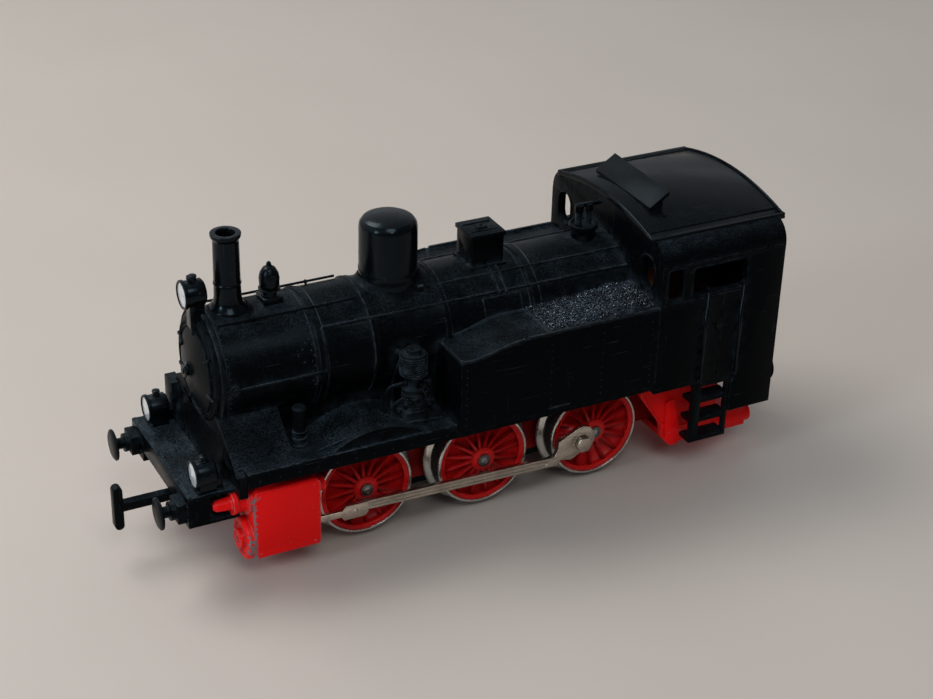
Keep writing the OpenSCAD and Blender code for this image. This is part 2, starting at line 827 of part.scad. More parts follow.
module traction_pair(x) {
    color(rubber) raised() both_sides() translate([x, 0, axle_z]) rotate([-90, 0, 0])
        rotate_extrude($fn = 96) translate([tread_r - band_groove, 8.6]) square([band_groove + 0.05, 1.7]);
}

module axle_front() { axle(wheel_pitch); }
module axle_middle() { axle(0); }
module axle_rear() { axle(-wheel_pitch); }
module wheels_front() { color(red) raised() wheel_pair(wheel_pitch, 4); }
module wheels_middle() { color(red) raised() wheel_pair(0, 9); }
module wheels_rear() {
    color(red) raised() {
        rear_centre(0);
        mirror([0, 1, 0]) rear_centre(-90);
    }
}
module tyres_front() { tyre_pair(wheel_pitch, false); }
module tyres_middle() { tyre_pair(0, true); }
module tyres_rear() { tyre_pair(-wheel_pitch, true); }
module traction_tyres_middle() { traction_pair(0); }
module traction_tyres_rear() { traction_pair(-wheel_pitch); }

// ---- gears ----

module axle_gear(x, turn) {
    color(brass) raised() difference() {
        gear(x, plane_a, axle_z, axle_teeth, turn);
        bar_y(x, -5, 5, axle_z, axle_r);
    }
}

module axle_gear_middle() { axle_gear(0, middle_phase); }
module axle_gear_rear() { axle_gear(-wheel_pitch, 0); }

module idler_gear() {
    color(brass) raised() difference() {
        gear(idler_x, plane_a, idler_z, idler_teeth, idler_phase);
        bar_y(idler_x, -5, 5, idler_z, gear_bore_r);
    }
}

// Two gears on one hub
module twin_gear(x, z, small, small_y, big, big_y, turn) {
    color(brass) raised() difference() {
        union() {
            gear(x, small_y, z, small, turn);
            gear(x, big_y, z, big, turn);
            bar_y(x, min(small_y, big_y), max(small_y, big_y), z, 1.3);
        }
        bar_y(x, -5, 5, z, gear_bore_r);
    }
}

module lower_gear() { twin_gear(lower_x, lower_z, lower_small, plane_a, lower_big, plane_b, lower_phase); }
module upper_gear() { twin_gear(upper_x, upper_z, upper_small, plane_b, upper_big, plane_c, upper_phase); }

// ---- rods ----

module crank_bolt(turn) {
    translate([-wheel_pitch, 0, axle_z]) rotate([0, -turn, 0]) translate([crank_throw, 0, 0]) {
        bar_y(0, 9.1, 13.5, 0, 0.8);
        translate([0, 14.2, 0]) rotate([90, 0, 0]) cylinder(r = 1.45, h = 0.9, $fn = 6);
    }
}

module crank_bolts() {
    color(nickel) raised() {
        crank_bolt(0);
        mirror([0, 1, 0]) crank_bolt(-90);
    }
}

// Connecting rod with its big end at the origin and its small end along +X
module rod_shape() {
    difference() {
        along_y(rod_y0, rod_y1) {
            polygon([
                [-2.5, 0.2], [-2.3, -0.4], [-1.8, -0.9], [0.3, -1.95], [2.0, -2.8], [4.0, -2.3],
                [4.6, -3.2], [rod_length, -0.79], [rod_length, 0.79], [5.2, -1.45], [4.5, -0.4],
                [4.3, 1.2], [0.7, 2.8], [-0.3, 3.05], [-1.5, 2.6], [-2.3, 1.4]
            ]);
            translate([rod_length, 0]) circle(r = 0.95);
        }
        bar_y(0, 10, 15, 0, 0.86);
        translate([rod_length, 0, 0]) rotate([0, -3.6, 0])
            along_y(rod_y1 - 0.18, rod_y1 + 1) slot_2d(-34.4, -3.5, 0, 0.38);
    }
}

module connecting_rod_left() {
    color(nickel) raised() translate([crank_throw - wheel_pitch, 0, axle_z])
        rotate([0, rod_left_tilt, 0]) rod_shape();
}

module connecting_rod_right() {
    color(nickel) raised() mirror([0, 1, 0]) translate([-wheel_pitch, 0, axle_z - crank_throw])
        rotate([0, rod_right_tilt, 0]) rod_shape();
}

// Crosshead and piston rod in one stamping
module crosshead_shape(x) {
    color(nickel) raised() along_y(cross_y0, cross_y1) {
        translate([x, cross_z]) polygon([
            [-2.2, -0.7], [-1.6, -1.25], [1.9, -1.25], [2.3, -0.7],
            [2.1, 0.7], [1.5, 1.25], [-2.0, 1.25], [-2.3, 0.7]
        ]);
        translate([x, cross_z - 0.55]) square([15.5, 1.1]);
    }
}

module crosshead_left() { crosshead_shape(cross_x); }
module crosshead_right() { mirror([0, 1, 0]) crosshead_shape(cross_right_x); }

// ---- pick-up and couplings ----

module pickup_shoe() {
    color(nickel) raised() {
        along_y(-1.6, 1.6) polygon([
            [-9, 2.3], [-6, 1.0], [26, 1.0], [29, 2.3],
            [28, 2.3], [25.6, 1.5], [-5.6, 1.5], [-8, 2.3]
        ]);
        bar_z(10.4, 0, 1.2, 6.2, 1.0);
    }
}

// Coupling with its swivel eye at x and its hook plate at the end
module coupling_shape(x) {
    difference() {
        union() {
            bar_z(x, 0, 7.7, 9.3, 1.8);
            block([x, -0.8, 7.8], [57.2, 0.8, 9.2]);
            along_y(-0.8, 0.8) {
                translate([57.1, 5.35]) square([1.5, 6.2]);
                translate([57.85, 5.35]) circle(r = 0.75);
                translate([57.85, 11.55]) circle(r = 0.75);
            }
        }
        bar_z(x, 0, 7, 10, 0.95);
    }
}

module front_coupling() {
    color(black) raised() coupling_shape(39.5);
}

module rear_coupling() {
    color(black) raised() mirror([1, 0, 0]) coupling_shape(41);
}

chassis();
ashpan();
keeper_plate();
cylinder_left();
cylinder_right();
body_shell();
cab_roof();
roof_vent();
chimney();
bell();
steam_dome();
sandbox();
safety_valves();
smokebox_door();
top_lamp();
front_lamps();
lamp_lenses();
front_buffers();
rear_buffers();
cab_steps();
cab_handrails();
air_pump();
coal_load();
body_screw();
gear_pins();
motor_field();
field_coil();
motor_shield();
brushes();
relay_coil();
relay_armature();
axle_front();
axle_middle();
axle_rear();
wheels_front();
wheels_middle();
wheels_rear();
tyres_front();
tyres_middle();
tyres_rear();
traction_tyres_middle();
traction_tyres_rear();
axle_gear_middle();
axle_gear_rear();
idler_gear();
lower_gear();
upper_gear();
armature();
armature_windings();
commutator();
motor_pinion();
crank_bolts();
connecting_rod_left();
connecting_rod_right();
crosshead_left();
crosshead_right();
pickup_shoe();
front_coupling();
rear_coupling();
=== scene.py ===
import json
import math
import random

import bmesh
import bpy
from mathutils import Matrix, Vector, noise


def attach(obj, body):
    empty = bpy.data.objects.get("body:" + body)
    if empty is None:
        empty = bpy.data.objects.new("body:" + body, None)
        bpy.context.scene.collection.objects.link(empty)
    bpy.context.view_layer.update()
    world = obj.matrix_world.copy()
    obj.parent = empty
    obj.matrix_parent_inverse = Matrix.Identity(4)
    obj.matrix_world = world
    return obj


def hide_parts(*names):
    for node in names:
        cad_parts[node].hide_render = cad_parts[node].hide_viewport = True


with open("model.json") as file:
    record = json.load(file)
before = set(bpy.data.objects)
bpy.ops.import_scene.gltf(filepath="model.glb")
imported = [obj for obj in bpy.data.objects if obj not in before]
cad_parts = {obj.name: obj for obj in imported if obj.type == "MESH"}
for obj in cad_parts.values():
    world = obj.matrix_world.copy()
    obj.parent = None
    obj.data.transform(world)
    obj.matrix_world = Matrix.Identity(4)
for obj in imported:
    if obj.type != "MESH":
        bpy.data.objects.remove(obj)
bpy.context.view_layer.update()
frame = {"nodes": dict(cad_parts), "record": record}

MM = 0.001
BODY = "locomotive"

# The main sizes of part.scad, in millimetres. Heights count from the top of the rail, RAIL above the ground
RAIL = 1.1
BOILER_Z = 29.8
BOILER_R = 9.2
AXLE_Z = 8.1
PITCH = 20.8
CRANK = 3.6
HALF_WIDTH = 17.8
CAB_FRONT = -27.4
CAB_REAR = -50.8
BEAM_X = 50.8
TANK_LIP = 30.9
TANK_RISE = 1.8
ROOF_TOP = 45.95
ROOF_R = 50.1
CHIMNEY_X = 38.6
BELL_X = 31.9
DOME_X = 12.1
SANDBOX_X = -4.05
FEED_X = 32.2
PUMP_X = 13.4
PUMP_Y = 12.2
LAMP_Y = 10.7
CYLINDER_Y = 12.1
CYLINDER_Z = 6.2
ROD_Z = 6.6


# ---------------------------------------------------------------- materials

class Shader:
    """Builds one node material with short calls. Lengths are in millimetres of the piece's own space."""

    def __init__(self, name):
        self.mat = bpy.data.materials.new(name)
        self.mat.use_nodes = True
        self.tree = self.mat.node_tree
        self.tree.nodes.clear()
        coords = self.add("ShaderNodeTexCoord").outputs["Object"]
        scaled = self.add("ShaderNodeVectorMath", {"Vector": coords, "Scale": 1 / MM}, operation="SCALE")
        self.mm = scaled.outputs[0]
        self.out = self.add("ShaderNodeOutputMaterial")

    def add(self, kind, inputs=None, **props):
        node = self.tree.nodes.new(kind)
        for key, value in props.items():
            setattr(node, key, value)
        for key, value in (inputs or {}).items():
            if isinstance(value, bpy.types.NodeSocket):
                self.tree.links.new(value, node.inputs[key])
            else:
                node.inputs[key].default_value = value
        return node

    def noise(self, size, detail=3.0, rough=0.55, stretch=(1, 1, 1), turn=(0, 0, 0), shift=0.0):
        """Noise from 0 to 1 in lumps about size across, longer along an axis where stretch is over 1."""
        vec = self.add("ShaderNodeMapping", {
            "Vector": self.mm, "Location": (shift, shift * 0.7, -shift), "Rotation": turn,
            "Scale": tuple(1 / (size * s) for s in stretch)}).outputs[0]
        return self.add("ShaderNodeTexNoise", {
            "Vector": vec, "Scale": 1.0, "Detail": detail, "Roughness": rough}).outputs["Fac"]

    def step(self, value, low, high, to_low=0.0, to_high=1.0):
        return self.add("ShaderNodeMapRange", {
            0: value, 1: low, 2: high, 3: to_low, 4: to_high}, interpolation_type="SMOOTHSTEP").outputs[0]

    def math(self, op, a, b=0.0, clamp=False):
        return self.add("ShaderNodeMath", {0: a, 1: b}, operation=op, use_clamp=clamp).outputs[0]

    def times(self, a, b):
        return self.math("MULTIPLY", a, b)

    def place(self, axis):
        """Where the point lies along an axis of the piece, in millimetres."""
        return self.add("ShaderNodeSeparateXYZ", {0: self.mm}).outputs[axis]

    def mix(self, fac, a, b):
        a = (*a, 1.0) if isinstance(a, tuple) and len(a) == 3 else a
        b = (*b, 1.0) if isinstance(b, tuple) and len(b) == 3 else b
        return self.add("ShaderNodeMix", {0: fac, 6: a, 7: b}, data_type="RGBA").outputs[2]

    def blend(self, fac, a, b):
        return self.add("ShaderNodeMix", {0: fac, 2: a, 3: b}, data_type="FLOAT").outputs[0]

    def bump(self, height, depth, normal=None):
        inputs = {"Height": height, "Distance": depth * MM, "Strength": 1.0}
        if normal is not None:
            inputs["Normal"] = normal
        return self.add("ShaderNodeBump", inputs).outputs[0]

    def hollow(self, reach):
        """1 in corners and crevices, 0 in the open."""
        shade = self.add("ShaderNodeAmbientOcclusion", {"Distance": reach * MM}, samples=6)
        return self.math("SUBTRACT", 1.0, shade.outputs["AO"])

    def edge(self, radius, low=0.02, high=0.2):
        """1 on sharp outer and inner edges, 0 on flats."""
        soft = self.add("ShaderNodeBevel", {"Radius": radius * MM}, samples=6).outputs[0]
        flat = self.add("ShaderNodeNewGeometry").outputs["Normal"]
        dot = self.add("ShaderNodeVectorMath", {0: soft, 1: flat}, operation="DOT_PRODUCT").outputs["Value"]
        return self.step(self.math("SUBTRACT", 1.0, dot), low, high)

    def upward(self):
        normal = self.add("ShaderNodeNewGeometry").outputs["Normal"]
        z = self.add("ShaderNodeSeparateXYZ", {0: normal}).outputs["Z"]
        return self.step(z, 0.1, 0.95)

    def scratches(self, amount=0.7, shift=0.0):
        """Fine lines that run mostly along the piece, with a few across it."""
        total = None
        directions = (
            ((90, 1, 1), (0, 0.10, 0.05)), ((70, 1, 1), (0.2, -0.55, 0.3)), ((1, 1, 60), (0.3, 0.35, 0.1)))
        for i, (stretch, turn) in enumerate(directions):
            line = self.noise(0.09, 1.0, 0.4, stretch, turn, shift + 11.3 * i)
            where = self.noise(5.0, 2.0, 0.6, shift=shift + 5.1 * i)
            mask = self.times(self.step(line, amount, amount + 0.03), self.step(where, 0.5, 0.62))
            total = mask if total is None else self.math("MAXIMUM", total, mask)
        return total

    def finish(self, color, rough, metal=0.0, normal=None, **extra):
        inputs = {"Base Color": (*color, 1.0) if isinstance(color, tuple) else color,
                  "Roughness": rough, "Metallic": metal}
        inputs.update(extra)
        if normal is not None:
            inputs["Normal"] = normal
        shader = self.add("ShaderNodeBsdfPrincipled", inputs)
        self.tree.links.new(shader.outputs[0], self.out.inputs[0])
        return self.mat


def black_plastic(name, dust=0.5, gloss=0.30, speck=0.5, shine=0.08, wear=0.32, shift=0.0):
    """Black moulding: dust lies on it and in its corners, grains stick to it, and its edges are rubbed."""
    s = Shader(name)
    crevice = s.times(s.hollow(2.2), s.step(s.noise(1.6, 4, shift=shift), 0.35, 0.62))
    low_down = s.step(s.place("Z"), 21.5, 24.5, 2.0, 1.0)
    cloud = s.step(s.noise(5.5, 4, 0.6, shift=shift + 3), 0.34, 0.78, 0.25, 1.0)
    powder = s.step(s.noise(0.30, 4, 0.72, shift=shift), 0.36, 0.66)
    lying = s.times(s.times(s.times(s.upward(), cloud), low_down), powder)
    film = s.math("ADD", s.times(crevice, 0.50 * dust), s.times(lying, 0.36 * dust))
    grains = s.times(s.step(s.noise(0.16, 2, 0.5, shift=shift), 0.66, 0.74),
                     s.step(s.noise(3.2, 3, 0.6, shift=shift + 8), 0.46, 0.68))
    film = s.math("ADD", film, s.times(grains, 0.35 * speck), clamp=True)
    marks = s.scratches(0.72, shift)
    rub_and_highlight = s.times(s.edge(0.16), s.step(s.noise(1.1, 3, shift=shift + 2), 0.45, 0.7))
    worn = s.math("MAXIMUM", s.times(marks, 0.30), s.times(rub_and_highlight, wear))
    color = s.mix(film, (0.0012, 0.0015, 0.0019), (0.066, 0.094, 0.118))
    color = s.mix(worn, color, (0.12, 0.13, 0.14))
    smear = s.noise(7.0, 4, 0.6, shift=shift + 6)
    sheen = s.step(smear, 0.3, 0.75, gloss - 0.06, gloss + 0.10)
    rough = s.math("ADD", sheen, s.times(film, 0.45), clamp=True)
    skin = s.math("ADD", s.noise(0.9, 2), s.times(marks, -1.2))
    normal = s.bump(skin, 0.018)
    normal = s.bump(s.times(film, s.noise(0.12, 1)), 0.03, normal)
    return s.finish(color, rough, 0.0, normal, **{
        "IOR": 1.42, "Specular IOR Level": shine, "Specular Tint": (0.60, 0.83, 1.0, 1.0)})


def red_enamel(name, chips=0.6, speckle=0.0, depth=1.0, shift=0.0):
    """Red paint over a grey casting, worn through on its edges, with grime speckled over it, dirt and painted
    shade in its hollows, and the whole red darkened as painted shade where depth is below 1.
    """
    s = Shader(name)
    patchy = s.noise(0.9, 5, 0.65, shift=shift)
    rim = s.times(s.edge(0.50, 0.03, 0.22), s.step(patchy, 0.62 - 0.2 * chips, 0.68 - 0.2 * chips))
    spots = s.times(s.step(s.noise(0.35, 3, 0.6, shift=shift + 4), 0.70, 0.73),
                    s.step(s.noise(4, 2, shift=shift + 5), 0.5, 0.6))
    bare = s.math("MAXIMUM", rim, s.times(spots, chips))
    if speckle:
        x, y, z = (s.place(axis) for axis in "XYZ")
        corner = s.times(s.step(x, 40.3, 41.2), s.step(s.math("ABSOLUTE", y), 14.4, 15.2))
        foot = s.times(s.step(x, 30.5, 32.0, 1.0, 0.0), s.step(z, 4.2, 5.4, 1.0, 0.0))
        zone = s.times(s.math("MAXIMUM", corner, foot), 0.22)
        flaking = s.math("ADD", s.noise(0.55, 4, 0.7, shift=shift + 6), zone)
        bare = s.math("MAXIMUM", bare, s.step(flaking, 0.66, 0.69))
    # Darker brown in the hollows, from ambient occlusion broken by noise: dirt and painted shade.
    grime_and_shade = s.times(s.hollow(1.6), s.step(s.noise(1.2, 4, shift=shift + 7), 0.3, 0.7))
    # depth below 1 darkens the red as painted shade.
    tint = s.mix(s.noise(6.0, 3, shift=shift + 1), (0.86 * depth, 0.003, 0.004), (0.98 * depth, 0.006, 0.006))
    specks = s.times(s.step(s.noise(0.22, 3, 0.6, shift=shift + 9), 0.60, 0.72),
                    s.step(s.noise(3.0, 3, 0.6, shift=shift + 2), 0.42, 0.66))
    # The grime specks join the dirt and painted shade of the hollows.
    grime_and_shade = s.math("ADD", s.times(grime_and_shade, 0.75), s.times(specks, speckle), clamp=True)
    color = s.mix(grime_and_shade, tint, (0.045, 0.012, 0.010))
    color = s.mix(bare, color, (0.23, 0.23, 0.25))
    rough = s.blend(bare, s.step(s.noise(3, 3, shift=shift), 0.3, 0.7, 0.30, 0.44), 0.48)
    height = s.math("SUBTRACT", s.times(s.noise(0.5, 3), 0.35), s.times(bare, 0.8))
    return s.finish(color, rough, s.times(bare, 0.7), s.bump(height, 0.05), **{"Specular IOR Level": 0.12})


def red_plastic(name):
    """Moulded wheel centres, with oil and painted shade in their hollows and a painted highlight on their
    edges.
    """
    s = Shader(name)
    # Darker in the hollows, from ambient occlusion broken by noise: oil and painted shade.
    grime_and_shade = s.times(s.hollow(1.5), s.step(s.noise(0.8, 4), 0.15, 0.55))
    # Lighter orange-red on spoke and rim edges: painted highlight with some rub.
    rub_and_highlight = s.times(s.edge(0.10), s.step(s.noise(1.0, 3, shift=3), 0.42, 0.66))
    color = s.mix(s.noise(5, 3), (0.66, 0.005, 0.006), (0.80, 0.009, 0.009))
    color = s.mix(s.times(grime_and_shade, 0.9), color, (0.040, 0.003, 0.004))
    color = s.mix(s.times(rub_and_highlight, 0.45), color, (0.90, 0.14, 0.11))
    rough = s.step(s.noise(2.2, 3), 0.3, 0.7, 0.30, 0.45)
    return s.finish(color, rough, 0.0, s.bump(s.noise(0.4, 3), 0.02), **{"Specular IOR Level": 0.25})


def plated(name, tint, rough=0.28, grime_and_shade=0.5, lathe=False):
    """Dull plated or turned metal with rub marks, and dark dirt and painted shade in its corners."""
    s = Shader(name)
    # Darker in the corners, from ambient occlusion broken by noise: dirt and painted shade.
    dirt_and_shade = s.times(s.hollow(0.8), s.step(s.noise(0.7, 4), 0.3, 0.66))
    haze = s.step(s.noise(2.4, 5, 0.62), 0.38, 0.72)
    dark = tuple(0.55 * c for c in tint)
    color = s.mix(s.times(haze, 0.6), tint, dark)
    color = s.mix(s.times(dirt_and_shade, grime_and_shade), color, (0.055, 0.045, 0.035))
    stretch = (1, 30, 1) if lathe else (40, 1, 1)
    brushed = s.noise(0.10, 2, 0.5, stretch)
    sheen = s.step(brushed, 0.3, 0.7, rough - 0.06, rough + 0.10)
    roughness = s.math("ADD", sheen, s.times(dirt_and_shade, 0.3), clamp=True)
    height = s.math("ADD", brushed, s.times(s.scratches(0.70), -1.0))
    return s.finish(color, roughness, 1.0, s.bump(height, 0.008))


def rubber(name):
    s = Shader(name)
    dusty = s.step(s.noise(0.8, 4), 0.45, 0.75)
    color = s.mix(s.times(dusty, 0.5), (0.012, 0.012, 0.012), (0.085, 0.080, 0.075))
    return s.finish(color, s.blend(dusty, 0.55, 0.85), 0.0, s.bump(s.noise(0.2, 3), 0.03))


def coal(name):
    s = Shader(name)
    glint = s.step(s.noise(0.45, 2, 0.5), 0.35, 0.7)
    dusty = s.times(s.upward(), s.step(s.noise(2.6, 4, 0.6), 0.34, 0.66))
    color = s.mix(s.times(dusty, 0.50), (0.002, 0.003, 0.005), (0.026, 0.040, 0.056))
    return s.finish(color, s.blend(glint, 0.12, 0.45), 0.0, s.bump(s.noise(0.22, 3), 0.03), **{
        "Specular IOR Level": 0.6, "Specular Tint": (0.75, 0.88, 1.0, 1.0)})


def lens(name):
    """Silvered lamp front with a little dust on it."""
    s = Shader(name)
    dusty = s.step(s.noise(0.7, 4), 0.4, 0.75)
    color = s.mix(s.times(dusty, 0.6), (0.80, 0.82, 0.84), (0.34, 0.35, 0.36))
    return s.finish(color, s.blend(dusty, 0.16, 0.5), 0.35,
                    s.bump(s.noise(0.3, 2), 0.02), **{"Coat Weight": 0.6})


def windings(name):
    """Enamelled wire laid in close turns."""
    s = Shader(name)
    wave = s.add("ShaderNodeTexWave", {
        "Vector": s.mm, "Scale": 2.2, "Distortion": 0.4, "Detail": 1.0}, bands_direction="X").outputs["Fac"]
    color = s.mix(wave, (0.16, 0.035, 0.012), (0.62, 0.24, 0.10))
    return s.finish(color, 0.34, 0.9, s.bump(wave, 0.12))


def board(name):
    """Brown laminate with a faint weave."""
    s = Shader(name)
    weave = s.noise(0.3, 3, 0.6, (6, 1, 1))
    color = s.mix(weave, (0.20, 0.085, 0.03), (0.33, 0.16, 0.065))
    return s.finish(color, s.step(weave, 0.3, 0.7, 0.42, 0.6), 0.0, s.bump(weave, 0.03))


BLACK = black_plastic("black_moulding", 0.80, 0.28, 0.65, 0.05)
BLACK_GLOSS = black_plastic("black_gloss", 0.20, 0.22, 0.35, 0.26, shift=20.0)
BLACK_DUSTY = black_plastic("black_dusty", 1.3, 0.40, 1.2, 0.08, 0.6, shift=85.0)
BLACK_ROOF = black_plastic("black_roof", 0.20, 0.19, 0.45, 0.10, shift=41.0)
BLACK_STEEL = black_plastic("black_steel", 0.45, 0.36, 0.6, 0.09, shift=63.0)
BLACK_RUBBED = black_plastic("black_rubbed", 1.4, 0.34, 1.4, 0.20, 1.0, shift=52.0)
RED = red_enamel("red_enamel", 1.05, 0.7)
RED_FRAME = red_enamel("red_frame", 0.35, shift=15.0)
# Red darkened to a third: painted shade for the chassis in shadow between the wheels.
RED_PAINTED_SHADE = red_enamel("red_painted_shade", 0.20, depth=0.32, shift=31.0)
WHEEL_RED = red_plastic("wheel_red")
NICKEL = plated("nickel", (0.57, 0.49, 0.41), 0.27, 0.6)
TYRE = plated("tyre_nickel", (0.66, 0.64, 0.60), 0.22, 0.5, lathe=True)
STEEL = plated("steel", (0.50, 0.50, 0.51), 0.30, 0.6, lathe=True)
DARK_STEEL = plated("dark_steel", (0.15, 0.155, 0.15), 0.34, 0.7, lathe=True)
BRASS = plated("brass", (0.66, 0.46, 0.17), 0.28, 0.7)
RUBBER = rubber("rubber")
COAL = coal("coal")
LENS = lens("lens")
COPPER = windings("windings")
BOARD = board("board")
CARBON = rubber("carbon")


# ---------------------------------------------------------------- geometry

def put(name, bm, body, material, sharp=32.0):
    """Makes a piece from a bmesh in millimetres, which rides on body."""
    bmesh.ops.recalc_face_normals(bm, faces=bm.faces)
    mesh = bpy.data.meshes.new(name)
    for f in bm.faces:
        f.smooth = True
    bm.to_mesh(mesh)
    bm.free()
    mesh.transform(Matrix.Scale(MM, 4) @ Matrix.Translation((0, 0, RAIL)))
    mesh.set_sharp_from_angle(angle=math.radians(sharp))
    obj = bpy.data.objects.new(name, mesh)
    bpy.context.scene.collection.objects.link(obj)
    mesh.materials.append(material)
    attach(obj, body)
    return obj


def refine(node, material, bevel=0.12, segments=2, angle=30.0):
    """A copy of a CAD node with softened edges, which replaces the node."""
    source = frame["nodes"][node]
    bm = bmesh.new()
    bm.from_mesh(source.data)
    bmesh.ops.transform(bm, matrix=Matrix.Scale(1 / MM, 4), verts=bm.verts)
    bmesh.ops.remove_doubles(bm, verts=bm.verts, dist=0.0005)
    if bevel:
        bmesh.ops.dissolve_limit(bm, angle_limit=math.radians(0.6), verts=bm.verts, edges=bm.edges)
    mesh = bpy.data.meshes.new(node + "_look")
    for f in bm.faces:
        f.smooth = True
    bm.to_mesh(mesh)
    bm.free()
    mesh.transform(Matrix.Scale(MM, 4))
    obj = bpy.data.objects.new(node + "_look", mesh)
    bpy.context.scene.collection.objects.link(obj)
    mesh.materials.append(material)
    if bevel:
        mod = obj.modifiers.new("edges", "BEVEL")
        mod.width = bevel * MM
        mod.segments = segments
        mod.limit_method = "ANGLE"
        mod.angle_limit = math.radians(angle)
        mod.harden_normals = False
        mod.use_clamp_overlap = True
        mod.miter_outer = "MITER_ARC"
    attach(obj, BODY_OF[node])
    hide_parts(node)
    bpy.context.view_layer.update()
    solid = bpy.data.meshes.new_from_object(obj.evaluated_get(bpy.context.evaluated_depsgraph_get()))
    obj.modifiers.clear()
    obj.data = solid
    solid.set_sharp_from_angle(angle=math.radians(38))
    return obj


def paint(material, *names):
    """Gives CAD nodes that keep their own shape a material."""
    for name in names:
        data = frame["nodes"][name].data
        data.materials.clear()
        data.materials.append(material)


BODY_OF = {n: b for b, ns in frame["record"]["behaviour"]["bodies"].items() for n in ns}


def add_box(bm, low, high, turn=None, centre=None):
    corners = [Vector((x, y, z)) for x in (low[0], high[0])
               for y in (low[1], high[1]) for z in (low[2], high[2])]
    if turn is not None:
        pivot = Vector(centre) if centre else (Vector(low) + Vector(high)) / 2
        corners = [pivot + turn @ (c - pivot) for c in corners]
    v = [bm.verts.new(c) for c in corners]
    for a, b, c, d in ((0, 1, 3, 2), (4, 6, 7, 5), (0, 4, 5, 1), (2, 3, 7, 6), (0, 2, 6, 4), (1, 5, 7, 3)):
        bm.faces.new((v[a], v[b], v[c], v[d]))
    return v


def add_tube(bm, points, radius, sides=10, flat=1.0):
    """A round bar along a line of points, with closed ends."""
    points = [Vector(p) for p in points]
    rings = []
    up = None
    for i, p in enumerate(points):
        before = points[max(i - 1, 0)]
        after = points[min(i + 1, len(points) - 1)]
        along = (after - before).normalized()
        if up is None:
            guess = Vector((0, 0, 1)) if abs(along.z) < 0.9 else Vector((1, 0, 0))
            up = (guess - along * guess.dot(along)).normalized()
        else:
            up = (up - along * up.dot(along)).normalized()
        side = along.cross(up)
        bend = 1.0
        if 0 < i < len(points) - 1:
            turn = (p - before).normalized().dot((after - p).normalized())
            bend = 1 / max(0.72, math.sqrt((1 + turn) / 2))
        ring = [bm.verts.new(p + (up * math.cos(a) * flat + side * math.sin(a)) * radius * bend)
                for a in (2 * math.pi * k / sides for k in range(sides))]
        rings.append(ring)
    for one, two in zip(rings, rings[1:]):
        for k in range(sides):
            bm.faces.new((one[k], one[(k + 1) % sides], two[(k + 1) % sides], two[k]))
    bm.faces.new(rings[0][::-1])
    bm.faces.new(rings[-1])


def add_lathe(bm, centre, axis, profile, sides=32, ring=False):
    """Turns (along, radius) points about an axis through centre. A ring's outline closes on itself."""
    axis = Vector(axis).normalized()
    guess = Vector((0, 0, 1)) if abs(axis.z) < 0.9 else Vector((1, 0, 0))
    u = axis.cross(guess).normalized()
    v = axis.cross(u)
    centre = Vector(centre)
    rings = []
    for along, radius in profile:
        if radius < 1e-5:
            rings.append([bm.verts.new(centre + axis * along)])
        else:
            rings.append([bm.verts.new(centre + axis * along + (u * math.cos(a) + v * math.sin(a)) * radius)
                          for a in (2 * math.pi * k / sides for k in range(sides))])
    pairs = list(zip(rings, rings[1:] + rings[:1])) if ring else list(zip(rings, rings[1:]))
    for one, two in pairs:
        for k in range(sides):
            a, b = one[k % len(one)], one[(k + 1) % len(one)]
            c, d = two[(k + 1) % len(two)], two[k % len(two)]
            corners = []
            for vert in (a, b, c, d):
                if vert not in corners:
                    corners.append(vert)
            if len(corners) > 2:
                bm.faces.new(corners)
    if not ring:
        for end, flip in ((rings[0], True), (rings[-1], False)):
            if len(end) > 2:
                bm.faces.new(end[::-1] if flip else end)


def add_rivet(bm, point, out, radius=0.22, height=0.13):
    add_lathe(bm, point, out, [
        (-0.1, radius), (0.0, radius), (height * 0.6, radius * 0.78),
        (height, radius * 0.35), (height * 1.08, 0)], 8)


def on_boiler(x, angle, lift=0.0, side=1):
    """A point on the boiler's surface, angle degrees down from its crown towards side."""
    a = math.radians(angle)
    r = BOILER_R + lift
    return Vector((x, side * r * math.sin(a), BOILER_Z + r * math.cos(a)))


def out_of_boiler(angle, side=1):
    a = math.radians(angle)
    return Vector((0, side * math.sin(a), math.cos(a)))


def rounded(points, radius, steps=5):
    """Rounds the inner corners of a line of points."""
    points = [Vector(p) for p in points]
    line = [points[0]]
    for a, b, c in zip(points, points[1:], points[2:]):
        into, out = (b - a), (c - b)
        cut = min(radius, into.length * 0.45, out.length * 0.45)
        start, end = b - into.normalized() * cut, b + out.normalized() * cut
        for i in range(steps + 1):
            t = i / steps
            line.append(start * (1 - t) ** 2 + b * 2 * t * (1 - t) + end * t ** 2)
    line.append(points[-1])
    return line


# ---------------------------------------------------------------- the CAD nodes

refine("body_shell", BLACK, 0.16)
refine("cab_roof", BLACK_ROOF, 0.14, angle=40)
refine("roof_vent", BLACK_STEEL, 0.08)
refine("chimney", BLACK_GLOSS, 0.10, 3, 25)
refine("bell", BLACK_GLOSS, 0.08, 2, 30)
refine("steam_dome", BLACK_GLOSS, 0.10, 3, 25)
refine("sandbox", BLACK, 0.14)
refine("safety_valves", BLACK, 0.08)
refine("smokebox_door", BLACK_STEEL, 0.08, 2, 25)
refine("top_lamp", BLACK_GLOSS, 0.10)
refine("front_lamps", BLACK_GLOSS, 0.10)
refine("front_buffers", BLACK_STEEL, 0.06)
refine("rear_buffers", BLACK_STEEL, 0.06)
refine("cab_steps", BLACK_STEEL, 0.10)
refine("cab_handrails", BLACK_GLOSS, 0.0)
refine("air_pump", BLACK_DUSTY, 0.10)
refine("keeper_plate", BLACK, 0.12)
